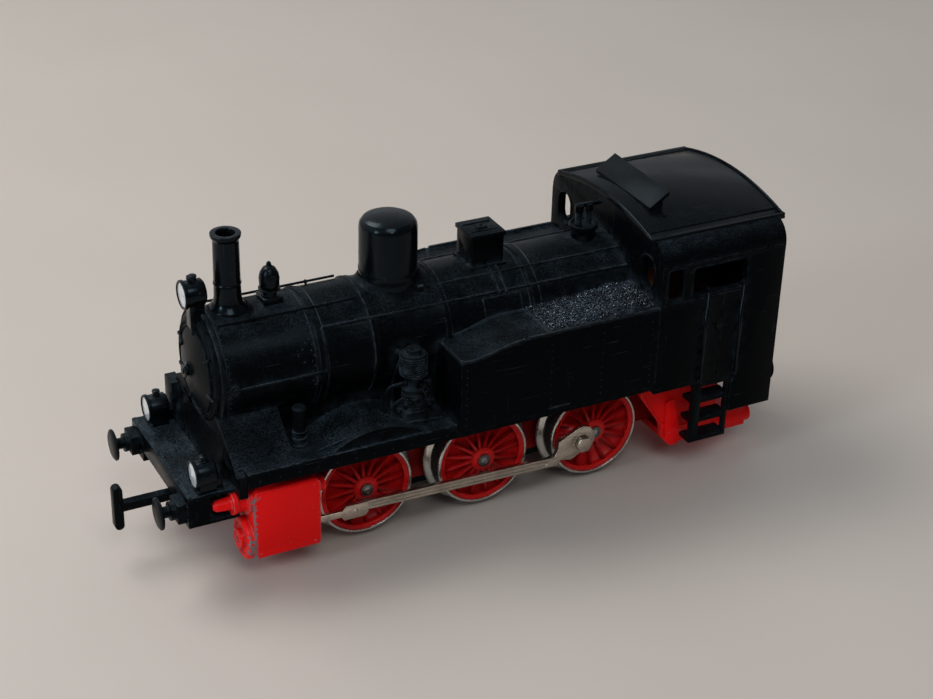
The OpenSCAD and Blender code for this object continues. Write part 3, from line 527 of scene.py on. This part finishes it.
# The chassis takes the red with painted shade.
refine("chassis", RED_PAINTED_SHADE, 0.20)
refine("ashpan", RED_FRAME, 0.18)
refine("cylinder_left", RED, 0.24)
refine("cylinder_right", RED, 0.24)
for side in ("left", "right"):
    refine("connecting_rod_" + side, NICKEL, 0.07)
    refine("crosshead_" + side, NICKEL, 0.07)
for which in ("front", "middle", "rear"):
    refine("wheels_" + which, WHEEL_RED, 0.0)
    refine("tyres_" + which, TYRE, 0.05, angle=25)
    refine("axle_" + which, STEEL, 0.12)
refine("crank_bolts", NICKEL, 0.12)
refine("front_coupling", BLACK_STEEL, 0.14)
refine("rear_coupling", BLACK_STEEL, 0.14)
refine("pickup_shoe", NICKEL, 0.10)
refine("body_screw", STEEL, 0.10)
paint(RUBBER, "traction_tyres_middle", "traction_tyres_rear")
paint(LENS, "lamp_lenses")
paint(STEEL, "gear_pins", "armature", "motor_field", "relay_armature")
paint(BRASS, "axle_gear_middle", "axle_gear_rear", "idler_gear", "lower_gear", "upper_gear", "motor_pinion")
paint(COPPER, "field_coil", "relay_coil", "armature_windings", "commutator")
paint(BOARD, "motor_shield")
paint(CARBON, "brushes")


# ---------------------------------------------------------------- boiler details

def boiler_line(bm, stations, radius, lift, side=1, corner=0.9, sides=8):
    """A pipe on the boiler through (x, angle) stations, bent round the barrel between them."""
    points = []
    for (x0, a0), (x1, a1) in zip(stations, stations[1:]):
        count = max(1, int(abs(a1 - a0) / 6))
        points += [on_boiler(x0 + (x1 - x0) * i / count, a0 + (a1 - a0) * i / count, lift, side)
                   for i in range(count)]
    points.append(on_boiler(*stations[-1], lift, side))
    add_tube(bm, rounded(points, corner, 3), radius, sides)


for side, label in ((1, "left"), (-1, "right")):
    bm = bmesh.new()
    boiler_line(bm, ((41.7, 25.5), (19.5, 25.5)), 0.21, 0.42, side)
    for x in (41.7, 29.4, 24.3):
        add_tube(bm, [on_boiler(x, 25.5, -0.2, side), on_boiler(x, 25.5, 0.42, side)], 0.22, 8)
        add_lathe(bm, on_boiler(x, 25.5, 0.42, side), (1, 0, 0),
                  [(-0.36, 0), (-0.3, 0.2), (0, 0.36), (0.3, 0.2), (0.36, 0)], 10)
    put("boiler_rail_" + label, bm, BODY, BLACK)

    bm = bmesh.new()
    boiler_line(bm, ((5.4, 28), (-10.4, 28), (-27.6, 28)), 0.20, 0.10, side)
    boiler_line(bm, ((41.4, 89), (26.4, 89), (26.4, 47), (13, 48), (-27.6, 49)), 0.24, 0.16, side)
    add_lathe(bm, on_boiler(41.4, 89, 0, side), out_of_boiler(89, side),
              [(-0.2, 0.95), (0.15, 0.95), (0.3, 0.8), (0.34, 0.45), (0.62, 0.4), (0.66, 0)], 20)
    add_tube(bm, [on_boiler(41.4, 89, 0.1, side), on_boiler(43.2, 89, 0.1, side)], 0.18, 8)
    put("boiler_pipes_" + label, bm, BODY, BLACK_RUBBED)

    bm = bmesh.new()
    spots = [(28.3 + 0.35 * (i % 2), 40 + 5.2 * i) for i in range(13)]
    spots += [(30.0, 64), (30.0, 76), (30.8, 69), (29.4, 58), (20.2, 51), (19.1, 56)]
    spots += [(41.9, 6 + 6.5 * i) for i in range(20)]
    for x, angle in spots:
        add_rivet(bm, on_boiler(x, angle, 0, side), out_of_boiler(angle, side), 0.17, 0.10)
    put("boiler_rivets_" + label, bm, BODY, BLACK_RUBBED)

    bm = bmesh.new()
    boiler_line(bm, ((-0.9, 53), (-0.9, 83)), 0.13, 0.03, side)
    boiler_line(bm, ((-7.5, 53), (-7.5, 83)), 0.13, 0.03, side)
    boiler_line(bm, ((-0.9, 53), (-7.5, 53)), 0.13, 0.03, side)
    for x in (-4.0, -5.2):
        boiler_line(bm, ((x, 12), (x, 50)), 0.28, 0.14, side)
        add_rivet(bm, on_boiler(x, 50, 0.05, side), out_of_boiler(50, side), 0.36, 0.3)
    put("sand_pipes_" + label, bm, BODY, BLACK_RUBBED)

bm = bmesh.new()
for x, wide, lift in (
        (28.0, 0.11, 0.07), (26.1, 0.11, 0.07), (18.4, 0.10, 0.26), (5.2, 0.10, 0.26),
        (43.0, 0.30, 0.26), (42.2, 0.16, 0.10), (-9.0, 0.14, 0.12), (-11.0, 0.14, 0.12)):
    add_lathe(bm, (x, 0, BOILER_Z), (1, 0, 0), [
        (-wide, BOILER_R - 0.3), (-wide, BOILER_R + lift * 0.6), (-wide * 0.5, BOILER_R + lift),
        (wide * 0.5, BOILER_R + lift), (wide, BOILER_R + lift * 0.6), (wide, BOILER_R - 0.3)], 160, True)
put("boiler_rings", bm, BODY, BLACK_RUBBED)

# Saddle flares under the chimney and the dome
def saddle(bm, x, inner, outer, height, sides=64, rows=7):
    rings = []
    for j in range(rows):
        t = j / (rows - 1)
        reach = inner + (outer - inner) * t
        rise = height * (1 - t) ** 2.2
        ring = []
        for k in range(sides):
            a = 2 * math.pi * k / sides
            px, py = x + reach * math.cos(a), reach * math.sin(a)
            top = BOILER_Z + math.sqrt(BOILER_R ** 2 - min(py * py, BOILER_R ** 2 - 1))
            ring.append(bm.verts.new((px, py, top + rise + 0.03 - 0.10 * t)))
        rings.append(ring)
    for one, two in zip(rings, rings[1:]):
        for k in range(sides):
            bm.faces.new((one[k], one[(k + 1) % sides], two[(k + 1) % sides], two[k]))


bm = bmesh.new()
saddle(bm, CHIMNEY_X, 3.1, 3.9, 0.35)
saddle(bm, DOME_X, 4.85, 5.9, 0.75)
put("chimney_and_dome_flares", bm, BODY, BLACK, 60)

bm = bmesh.new()
add_box(bm, (8.2, 4.2, 37.6), (9.3, 4.9, 38.5))
for turn in (0, 1):
    add_lathe(bm, (DOME_X, 0, 40.35 + 0.28 * turn), (0, 0, 1),
              [(-0.07, 4.5), (-0.07, 4.68 - 0.02 * turn), (0.07, 4.68 - 0.02 * turn), (0.07, 4.5)], 96, True)
put("dome_base_details", bm, BODY, BLACK_GLOSS)

bm = bmesh.new()
for i in range(4):
    a = math.radians(45 + 90 * i)
    add_rivet(bm, (BELL_X + 1.35 * math.cos(a) * 0.9, 1.5 * math.sin(a), 39.58), (0, 0, 1), 0.2, 0.15)
add_lathe(bm, (BELL_X, 0, 40.9), (0, 0, 1), [(-0.1, 1.4), (-0.1, 1.72), (0.12, 1.72), (0.2, 1.5)], 40)
put("bell_details", bm, BODY, BLACK_GLOSS)

bm = bmesh.new()
for y in (-1.5, 1.5):
    add_tube(bm, [(-6.4, y, 44.25), (-1.7, y, 44.25)], 0.12, 6)
add_box(bm, (-4.9, -0.7, 44.15), (-3.2, 0.7, 44.5))
add_rivet(bm, (SANDBOX_X, 0, 44.45), (0, 0, 1), 0.32, 0.35)
for x in (-6.9, -1.2):
    for y in (-2.9, 2.9):
        add_rivet(bm, (x + (0.35 if x < -4 else -0.35), y * 1.03, 38.5), (0, y / 2.9, 0), 0.2, 0.14)
put("sandbox_details", bm, BODY, BLACK)

bm = bmesh.new()
for x in (-23.9, -22.1):
    for i in range(7):
        add_lathe(bm, (x, 0, 41.3 + 0.33 * i), (0, 0, 1), [(-0.1, 0.45), (0, 0.62), (0.1, 0.45)], 16)
put("valve_springs", bm, BODY, BLACK)


# ---------------------------------------------------------------- smokebox front

def door_point(angle, radius, x):
    a = math.radians(angle)
    return Vector((x, radius * math.cos(a), BOILER_Z + radius * math.sin(a)))


bm = bmesh.new()
for radius, x, thick in ((6.75, 44.3, 0.12), (7.6, 44.05, 0.14)):
    add_lathe(bm, (x, 0, BOILER_Z), (1, 0, 0), [
        (-0.4, radius + thick), (0.0, radius + thick), (0.12, radius),
        (0.0, radius - thick), (-0.4, radius - thick)], 96, True)
for angle in (-14, -62, 35, 84, -112):
    inner, outer = door_point(angle, 6.2, 44.55), door_point(angle, 8.0, 44.15)
    add_tube(bm, [inner, (inner + outer) / 2 + Vector((0.12, 0, 0)), outer], 0.30, 6, 0.8)
    add_rivet(bm, door_point(angle, 7.4, 44.35), (1, 0, 0), 0.30, 0.26)
for dz in (2.6, -2.6):
    line = []
    for i in range(5):
        y = -7.3 + i * 0.9
        r = math.hypot(y, dz)
        line.append((45.4 - r * r / 36 + 0.12 if r < 7 else 44.15, y, BOILER_Z + dz))
    add_tube(bm, line, 0.26, 6, 1.3)
put("door_fittings", bm, BODY, BLACK_STEEL)

bm = bmesh.new()
add_lathe(bm, (45.2, 0, BOILER_Z), (1, 0, 0), [
    (0, 1.3), (0.25, 1.3), (0.35, 0.95), (0.45, 0.5), (0.62, 0.5), (0.66, 1.0), (0.8, 1.1),
    (0.98, 1.0), (1.02, 0.5), (1.2, 0.45), (1.24, 0)], 32)
for angle in (20, 140, 260):
    a = math.radians(angle)
    add_tube(bm, [(45.95, 0, BOILER_Z), (45.95, 1.5 * math.cos(a), BOILER_Z + 1.5 * math.sin(a))], 0.17, 6)
put("door_handwheel", bm, BODY, BLACK_GLOSS)

bm = bmesh.new()
for x, y, z in ((45.9, 0, 42.6), (49.2, LAMP_Y, 18.1), (49.2, -LAMP_Y, 18.1)):
    add_lathe(bm, (x - 0.4, y, z), (1, 0, 0), [
        (-0.25, 2.05), (-0.1, 2.28), (0.3, 2.28), (0.42, 2.16), (0.42, 1.98), (0.1, 1.95)], 40, True)
    add_lathe(bm, (x - 1.9, y, z + 2.0), (0, 0, 1), [
        (0, 0.62), (0.35, 0.6), (0.45, 0.35), (0.7, 0.35), (0.75, 0.66), (0.95, 0.62),
        (1.05, 0.3), (1.07, 0)], 16)
    for s in (-1, 1):
        yoke = [(x - 2.8, y + s * 2.0, z + 0.2), (x - 2.6, y + s * 2.35, z + 0.9),
                (x - 2.0, y + s * 2.35, z + 1.0)]
        add_tube(bm, yoke, 0.16, 6)
put("lamp_rims", bm, BODY, BLACK_GLOSS)

bm = bmesh.new()
for y in (-LAMP_Y, LAMP_Y):
    add_box(bm, (45.0, y - 1.7, 15.45), (49.0, y + 1.7, 15.75))
    for s in (-1, 1):
        add_rivet(bm, (45.6, y + s * 1.3, 15.74), (0, 0, 1), 0.24, 0.16)
add_box(bm, (50.1, -12.9, 15.45), (50.75, 12.9, 15.62))
for y in (-6.5, 0, 6.5):
    add_rivet(bm, (46.9, y, 15.5), (0, 0, 1), 0.25, 0.16)
for y in (-13, 13):
    s = 1 if y > 0 else -1
    for x in (44.2, 46.0, 49.3):
        add_rivet(bm, (x, y, 14.9), (0, s, 0), 0.16, 0.10)
for y in (-8.9, -12.6, 8.9, 12.6):
    for z in (11.7, 14.0):
        for end in (1, -1):
            add_rivet(bm, (end * BEAM_X, y, z), (end, 0, 0), 0.2, 0.14)
put("deck_details", bm, BODY, BLACK_DUSTY)


# ---------------------------------------------------------------- running board

for side, label in ((1, "left"), (-1, "right")):
    bm = bmesh.new()
    add_lathe(bm, (FEED_X, 11.6 * side, 19.4), (0, 0, 1), [
        (0, 1.25), (0.5, 1.25), (0.7, 1.0), (1.2, 1.0), (1.25, 1.2), (1.7, 1.2), (1.75, 0.95), (2.3, 0.95),
        (2.35, 1.15), (2.8, 1.15), (2.85, 1.0), (5.0, 1.05), (6.7, 1.15), (7.0, 0.9), (7.0, 0)], 20)
    put("feed_fitting_" + label, bm, BODY, BLACK_DUSTY)

    bm = bmesh.new()
    add_box(bm, (-34, side * 16.45, 19.55), (42.4, side * 16.7, 19.72))
    for i in range(12):
        add_rivet(bm, (40.5 - 3.1 * i, side * 16.6, 18.1), (0, side, 0), 0.13, 0.08)
    conduit = [(9, side * 13.6, 19.75), (15, side * 14.2, 20.6),
               (24, side * 14.9, 21.2), (30.5, side * 14.9, 19.9)]
    add_tube(bm, rounded(conduit, 2), 0.18, 8)
    put("board_edge_" + label, bm, BODY, BLACK_DUSTY)

bm = bmesh.new()
for i in range(9):
    add_lathe(bm, (PUMP_X, PUMP_Y, 28.1 + 0.38 * i), (0, 0, 1),
              [(-0.12, 1.9), (-0.07, 2.22), (0.07, 2.22), (0.12, 1.9)], 28)
for i in range(6):
    add_lathe(bm, (PUMP_X, PUMP_Y, 21.9 + 0.55 * i), (0, 0, 1),
              [(-0.16, 1.6), (-0.1, 1.86), (0.1, 1.86), (0.16, 1.6)], 28)
add_lathe(bm, (PUMP_X, PUMP_Y, 25.3), (0, 0, 1), [(-0.1, 1.6), (0, 1.9), (0.3, 1.9), (0.45, 1.4)], 28)
steam = [(17.9, 11.6, 20.8), (17.9, 11.6, 24.9), (17.2, 11.9, 26.2), (14.6, PUMP_Y, 26.6)]
exhaust = [(10.4, PUMP_Y, 20), (10.4, PUMP_Y, 24), (11.2, PUMP_Y, 25.4), (12.6, PUMP_Y, 26.2)]
add_tube(bm, rounded(steam, 1.2), 0.36, 10)
add_tube(bm, rounded(exhaust, 1.0), 0.30, 10)
add_lathe(bm, (10.4, 12.2, 22.3), (0, 0, 1), [(-0.4, 0.3), (-0.35, 0.62), (0.35, 0.62), (0.4, 0.3)], 14)
add_lathe(bm, (17.9, 11.6, 21.2), (0, 0, 1), [(-0.4, 0.3), (-0.35, 0.68), (0.35, 0.68), (0.4, 0.3)], 14)
rnd = random.Random(7)
for i in range(9):
    a = 0.7 * i
    z = 22.0 + 1.15 * i
    stem = [(PUMP_X + 1.6 * math.cos(a), PUMP_Y + 1.6 * math.sin(a), z),
            (PUMP_X + 2.5 * math.cos(a), PUMP_Y + 2.5 * math.sin(a), z + rnd.uniform(-0.3, 0.5))]
    add_tube(bm, stem, rnd.uniform(0.18, 0.30), 8)
    add_lathe(bm, stem[1], (math.cos(a), math.sin(a), 0.2),
              [(-0.2, 0.2), (-0.1, 0.5), (0.25, 0.46), (0.35, 0.2), (0.36, 0)], 10)
for pipe in ([(15.2, 12.4, 24.0), (17.0, 12.6, 23.4), (17.2, 12.2, 20.0)],
             [(14.0, 10.4, 30.4), (14.6, 9.6, 29.0), (15.6, 9.3, 25.2), (16.2, 10.4, 21.4)],
             [(11.6, 11.4, 23.0), (10.0, 10.6, 22.4), (9.2, 10.4, 20.2)]):
    add_tube(bm, rounded(pipe, 0.8), 0.24, 8)
put("air_pump_pipes", bm, BODY, BLACK_DUSTY)


# ---------------------------------------------------------------- tanks and coal

def lump(bm, centre, size, rnd):
    """One broken lump of coal."""
    made = bmesh.ops.create_icosphere(bm, subdivisions=1, radius=1.0)["verts"]
    angle = rnd.uniform(0, 6.28)
    axis = Vector((rnd.uniform(-1, 1), rnd.uniform(-1, 1), rnd.uniform(0.1, 1))).normalized()
    turn = Matrix.Rotation(angle, 3, axis)
    scale = Vector((rnd.uniform(0.8, 1.3), rnd.uniform(0.7, 1.2), rnd.uniform(0.55, 0.9)))
    for v in made:
        jag = rnd.uniform(0.78, 1.18)
        shaped = Vector((v.co.x * scale.x, v.co.y * scale.y, v.co.z * scale.z))
        v.co = Vector(centre) + turn @ shaped * size * jag


def coal_top(x, y):
    """Height of the coal: level by the front of the bunker, heaped by the cab."""
    heap = 33.0 + 0.9 * max(0.0, min(1.0, (-8 - x) / 14))
    edge = min(1.0, max(0.0, (16.9 - abs(y)) / 1.2))
    return heap * edge + 32.75 * (1 - edge) + 0.28 * noise.noise(Vector((x * 0.45, y * 0.45, 2.0)))


rnd = random.Random(31)
bm = bmesh.new()
nx, ny = 60, 30
grid = [[bm.verts.new((x, y, coal_top(x, y) - 0.12)) for y in (7.7 + 9.1 * j / ny for j in range(ny + 1))]
        for x in (-27.4 + 20.1 * i / nx for i in range(nx + 1))]
for i in range(nx):
    for j in range(ny):
        bm.faces.new((grid[i][j], grid[i + 1][j], grid[i + 1][j + 1], grid[i][j + 1]))
for _ in range(2200):
    x, y = rnd.uniform(-27.0, -7.6), rnd.uniform(8.2, 16.6)
    if math.hypot(y, coal_top(x, y) - BOILER_Z) < BOILER_R + 0.1:
        continue
    lump(bm, (x, y, coal_top(x, y) - 0.08), rnd.choice((0.11, 0.15, 0.19, 0.26)), rnd)
heap = put("coal", bm, BODY, COAL, 12)
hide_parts("coal_load")


def tank_height(x):
    """The top of the tank, which dips towards its front."""
    t = max(0.0, min(1.0, (6.4 - x) / 10))
    return TANK_LIP + TANK_RISE * t * t * (3 - 2 * t)


for side, label in ((1, "left"), (-1, "right")):
    bm = bmesh.new()
    add_tube(bm, [(x, side * 8.95, tank_height(x)) for x in range(5, -9, -1)], 0.42, 12)
    add_box(bm, (-27.3, side * 17.35, 32.6), (-3.7, side * 17.75, 33.05))
    slope = [(x, side * 17.5, tank_height(x) + 0.05) for x in range(-3, 7)]
    lip = slope + [(7.6, side * 17.2, 30.95), (7.6, side * 10.2, 30.95), (6.4, side * 9.2, 30.95)]
    add_tube(bm, rounded(lip, 0.6, 3), 0.24, 8)
    if side == 1:
        add_box(bm, (-7.6, 9.0, 32.6), (-7.2, 17.5, 33.1))
    put("tank_top_" + label, bm, BODY, BLACK_RUBBED)

    bm = bmesh.new()
    for x in (6.9, -8.0, -17.2, -26.2):
        for i in range(10):
            z = 19.9 + 1.22 * i
            if x > 6 and z > 30.6:
                continue
            add_rivet(bm, (x, side * 17.8, z), (0, side, 0), 0.11, 0.07)
    add_box(bm, (-11.5, side * 17.7, 19.3), (-7.6, side * 17.95, 19.55))
    put("tank_rivets_" + label, bm, BODY, BLACK_RUBBED)


# ---------------------------------------------------------------- cab

def frame_round(bm, x0, x1, z0, z1, y, radius=0.14, corner=0.6):
    """A raised rim round an opening in a side wall."""
    middle = (x0 + x1) / 2
    outline = [(middle, y, z0), (x0, y, z0), (x0, y, z1), (x1, y, z1), (x1, y, z0), (middle, y, z0)]
    add_tube(bm, rounded(outline, corner, 4), radius, 6)


for side, label in ((1, "left"), (-1, "right")):
    y = side * HALF_WIDTH
    bm = bmesh.new()
    frame_round(bm, -31.6, -28.5, 33.4, 39.4, y)
    frame_round(bm, -43.8, -33.2, 33.7, 38.9, y)
    add_box(bm, (-50.7, y - 0.1 * side, 39.75), (-27.5, y + 0.16 * side, 39.98))
    add_box(bm, (-44.4, y - 0.1 * side, 33.0), (-28.0, y + 0.24 * side, 33.3))
    add_tube(bm, [(-27.45, y, 19.2), (-27.45, y, 39.7)], 0.09, 6)
    for x in (-36.2, -43.0):
        add_tube(bm, [(x, y - 0.25 * side, 17.2), (x, y - 0.25 * side, 33.0)], 0.10, 6)
        top = [(x, y + 0.3 * side, 33.4), (x, y + 0.25 * side, 34.6), (x, y - 0.1 * side, 34.9)]
        add_tube(bm, rounded(top, 0.4), 0.22, 8)
        add_lathe(bm, (x, y + 0.18 * side, 17.6), (0, 0, 1),
                  [(-0.3, 0.2), (-0.2, 0.40), (0.2, 0.40), (0.3, 0.2)], 10)
    for z in (21.5, 27.0, 32.0, 37.5):
        add_rivet(bm, (-50.4, y, z), (0, side, 0), 0.16, 0.12)
    add_box(bm, (-39.75, y - 0.3 * side, 17.3), (-39.55, y - 0.12 * side, 33.2))
    add_tube(bm, [(-38.9, y - 0.05 * side, 26.4), (-38.9, y + 0.1 * side, 27.3)], 0.18, 6)
    put("cab_side_" + label, bm, BODY, BLACK)

bm = bmesh.new()
for end, x in ((1, CAB_FRONT), (-1, CAB_REAR)):
    for s in (-1, 1):
        ring = []
        for i in range(33):
            a = 2 * math.pi * i / 32
            centre_z = 38.4 if math.sin(a) > 0 else 36.6
            ring.append((x + 0.02 * end, s * 13.4 + 2.05 * math.cos(a), centre_z + 2.05 * math.sin(a)))
        add_tube(bm, ring, 0.17, 6)
for z in (19, 24.5, 30, 33.4):
    add_box(bm, (-51.0, -17.0, z), (-50.7, 17.0, z + 0.22))
for y in (-6, 6):
    add_box(bm, (-51.0, y - 0.12, 19), (-50.7, y + 0.12, 33.4))
for y in range(-16, 17, 2):
    add_rivet(bm, (CAB_REAR, y, 18.0), (-1, 0, 0), 0.16, 0.12)
for s in (-1, 1):
    y = s * 16.2
    rail = [(CAB_REAR, y, 21), (-51.5, y, 21), (-51.5, y, 32), (CAB_REAR, y, 32)]
    add_tube(bm, rounded(rail, 0.4), 0.24, 8)
add_lathe(bm, (CAB_REAR, 0, 26.6), (-1, 0, 0), [
    (0, 1.9), (0.5, 1.9), (0.8, 1.6), (0.82, 1.35), (0.5, 1.2), (0.5, 0)], 32)
put("cab_ends", bm, BODY, BLACK)


def roof_point(x, y, lift=0.0):
    return Vector((x, y, ROOF_TOP - ROOF_R + math.sqrt((ROOF_R + lift) ** 2 - y * y)))


bm = bmesh.new()
for x in (-51.7, -26.9):
    add_tube(bm, [roof_point(x, -14.5 + 29 * i / 28, 0.02) for i in range(29)], 0.22, 6)
for s in (-1, 1):
    add_tube(bm, [roof_point(-51.6, s * 13.2, 0), roof_point(-27.0, s * 13.2, 0)], 0.14, 6)
for s in (-1, 1):
    for i in range(9):
        add_rivet(bm, roof_point(-50.4 + 2.8 * i, s * 12.3), (0, s * 0.25, 1), 0.13, 0.08)
for y in (-6.5, 0, 6.5):
    add_tube(bm, [(-33.3, y - 0.5, 47.1), (-32.0, y - 0.5, 46.6)], 0.14, 6)
put("roof_details", bm, BODY, BLACK_ROOF)


# ---------------------------------------------------------------- running gear

for side, label in ((1, "left"), (-1, "right")):
    bm = bmesh.new()
    for x in (31.3, 40.3):
        for z in (4.1, 14.3):
            add_rivet(bm, (x, side * 15.3, z), (0, side, 0), 0.20, 0.05)
    for k in range(6):
        a = math.radians(60 * k + 30)
        add_rivet(bm, (42.0, side * CYLINDER_Y + 2.45 * math.cos(a), CYLINDER_Z + 2.45 * math.sin(a)),
                  (1, 0, 0), 0.28, 0.26)
    put("cylinder_bolts_" + label, bm, BODY, RED)

for node, x in (("front_wheelset", PITCH), ("middle_wheelset", 0.0), ("rear_wheelset", -PITCH)):
    bm = bmesh.new()
    for side in (1, -1):
        add_lathe(bm, (x, side * 11.3, AXLE_Z), (0, side, 0), [
            (0, 1.08), (0.14, 1.04), (0.18, 0.92), (0.18, 0.62), (0.0, 0.50), (-0.02, 0)], 32)
    put("axle_ends_" + node, bm, node, DARK_STEEL)

    bm = bmesh.new()
    for side in (1, -1):
        for radius in (1.95, 6.95):
            y = side * (10.92 if radius < 3 else 10.62)
            add_lathe(bm, (x, y, AXLE_Z), (0, side, 0), [
                (-0.15, radius - 0.14), (0.03, radius - 0.08), (0.06, radius),
                (0.03, radius + 0.08), (-0.15, radius + 0.14)], 72, True)
    put("rims_" + node, bm, node, WHEEL_RED)

bm = bmesh.new()
for side, x, z in ((1, -PITCH + CRANK, AXLE_Z), (-1, -PITCH, AXLE_Z - CRANK)):
    add_lathe(bm, (x, side * 14.15, z), (0, side, 0), [(0, 0.9), (0.08, 0.86), (0.16, 0.5), (0.17, 0)], 24)
    add_lathe(bm, (x, side * 13.1, z), (0, side, 0), [
        (0, 1.75), (0.14, 1.75), (0.2, 1.5), (0.1, 0.85), (0, 0.85)], 32, True)
put("crank_washers", bm, "rear_wheelset", NICKEL)

for side, label, x in ((1, "left", 23.97), (-1, "right", 20.35)):
    bm = bmesh.new()
    add_rivet(bm, (x, side * 14.0, ROD_Z), (0, side, 0), 0.45, 0.22)
    for dx in (-1.5, 1.5):
        add_rivet(bm, (x + dx, side * 14.0, ROD_Z), (0, side, 0), 0.16, 0.1)
    put("crosshead_pins_" + label, bm, "piston_" + label, NICKEL)

bm = bmesh.new()
for s in (1, -1):
    y = s * 12.52
    rib = [(-28.6, y, 16.6), (-28.9, y, 13.4), (-33.1, y, 7.2), (-33.6, y, 4.7)]
    add_tube(bm, rounded(rib, 1.2), 0.14, 6)
    add_lathe(bm, (-35.35, s * 13.15, 4.6), (0, s, 0), [
        (-0.1, 1.62), (0.06, 1.55), (0.10, 1.4), (0.02, 1.3), (0.0, 0)], 40)
    for x in (-37.5, -42.0):
        add_rivet(bm, (x, s * 12.5, 15.4), (0, s, 0), 0.25, 0.15)
    add_tube(bm, [(-46, y, 6.1), (-36.4, y, 6.1)], 0.12, 6)
put("ashpan_ribs", bm, BODY, RED_FRAME)

bm = bmesh.new()
for s in (1, -1):
    for z in (5.7, 9.4, 13.1):
        for i in range(9):
            x = -42.0 + 0.76 * i
            add_box(bm, (x, s * 14.9, z + 0.78), (x + 0.22, s * 17.4, z + 0.90))
    for z in (7.8, 11.4, 15.0):
        add_rivet(bm, (-36.15, s * 17.6, z), (0, s, 0), 0.18, 0.12)
put("step_treads", bm, BODY, BLACK_STEEL)


# ---------------------------------------------------------------- floor, light, camera

FLOOR_REACH = 1600


def floor_material():
    s = Shader("floor")
    tone = s.noise(60, 3, 0.5)
    color = s.mix(tone, (0.495, 0.435, 0.385), (0.55, 0.485, 0.435))
    return s.finish(color, 0.62, 0.0, s.bump(s.noise(1.5, 3), 0.02))


bm = bmesh.new()
verts = [bm.verts.new((x * FLOOR_REACH, y * FLOOR_REACH, 0)) for x, y in ((-1, -1), (1, -1), (1, 1), (-1, 1))]
bm.faces.new(verts)
mesh = bpy.data.meshes.new("floor")
bm.to_mesh(mesh)
bm.free()
mesh.transform(Matrix.Scale(MM, 4))
floor = bpy.data.objects.new("floor", mesh)
mesh.materials.append(floor_material())
bpy.context.scene.collection.objects.link(floor)

# The world glows towards WINDOW. Each band is lowest, highest and added strength, for streaks in reflections
WINDOW = (0.25, -0.62, 0.74)
DIM, BRIGHT = 0.02, 0.55
BANDS = ((0.20, 0.34, 0.24), (0.46, 0.52, 0.20))
BAND_EDGE = 0.03

world = bpy.data.worlds.new("studio")
world.use_nodes = True
tree = world.node_tree
glow = tree.nodes.new("ShaderNodeMapRange")
window = tree.nodes.new("ShaderNodeVectorMath")
window.operation = "DOT_PRODUCT"
window.inputs[1].default_value = Vector(WINDOW).normalized()
tree.links.new(tree.nodes.new("ShaderNodeTexCoord").outputs["Generated"], window.inputs[0])
tree.links.new(window.outputs["Value"], glow.inputs[0])
for socket, value in zip(list(glow.inputs)[1:5], (-0.1, 1.0, DIM, BRIGHT)):
    socket.default_value = value
strength = glow.outputs[0]
height = tree.nodes.new("ShaderNodeSeparateXYZ")
tree.links.new(window.inputs[0].links[0].from_socket, height.inputs[0])
for low, high, boost in BANDS:
    for edge_at, sign in ((low, 1), (high, -1)):
        band = tree.nodes.new("ShaderNodeMapRange")
        band.interpolation_type = "SMOOTHSTEP"
        ramp = (edge_at - BAND_EDGE, edge_at + BAND_EDGE, 0.0, sign * boost)
        for socket, value in zip(list(band.inputs)[1:5], ramp):
            socket.default_value = value
        tree.links.new(height.outputs["Z"], band.inputs[0])
        total = tree.nodes.new("ShaderNodeMath")
        tree.links.new(strength, total.inputs[0])
        tree.links.new(band.outputs[0], total.inputs[1])
        strength = total.outputs[0]
tree.links.new(strength, tree.nodes["Background"].inputs["Strength"])
tree.nodes["Background"].inputs["Color"].default_value = (0.88, 0.94, 1.0, 1)
bpy.context.scene.world = world


def area_light(name, place, aim, size, power, tint=(1, 1, 1)):
    data = bpy.data.lights.new(name, "AREA")
    data.energy = power
    data.shape = "RECTANGLE"
    data.size, data.size_y = size
    data.color = tint
    obj = bpy.data.objects.new(name, data)
    obj.location = Vector(place)
    obj.rotation_euler = (Vector(aim) - Vector(place)).to_track_quat("-Z", "Y").to_euler()
    bpy.context.scene.collection.objects.link(obj)


area_light("key", (0.20, -0.24, 0.46), (0.0, 0.0, 0.02), (0.36, 0.26), 1.7, (1.0, 0.99, 0.96))
area_light("fill", (0.10, 0.50, 0.62), (0.0, 0.0, 0.02), (0.36, 0.28), 1.40, (0.97, 0.98, 1.0))
area_light("front", (0.60, 0.16, 0.30), (0.03, 0.0, 0.02), (0.14, 0.22), 1.25, (0.72, 0.88, 1.0))

CAMERA_PLACE = (0.126794, 0.244332, 0.176166)
CAMERA_TURN = (-117.823, 28.924, 1.6157)
CAMERA_LENS = 74.6
CAMERA_SENSOR = 36

yaw, pitch, roll = (math.radians(a) for a in CAMERA_TURN)
ahead = Vector((math.cos(yaw) * math.cos(pitch), math.sin(yaw) * math.cos(pitch), -math.sin(pitch)))
right = Vector((math.sin(yaw), -math.cos(yaw), 0))
up = right.cross(ahead)
side_axis = math.cos(roll) * right + math.sin(roll) * up
up_axis = -math.sin(roll) * right + math.cos(roll) * up
lens_data = bpy.data.cameras.new("camera")
lens_data.lens = CAMERA_LENS
lens_data.sensor_width = CAMERA_SENSOR
lens_data.clip_start = 0.01
camera = bpy.data.objects.new("camera", lens_data)
matrix = Matrix((side_axis, up_axis, -ahead)).transposed().to_4x4()
matrix.translation = Vector(CAMERA_PLACE)
camera.matrix_world = matrix
bpy.context.scene.collection.objects.link(camera)
bpy.context.scene.camera = camera
bpy.context.scene.view_settings.view_transform = "Standard"
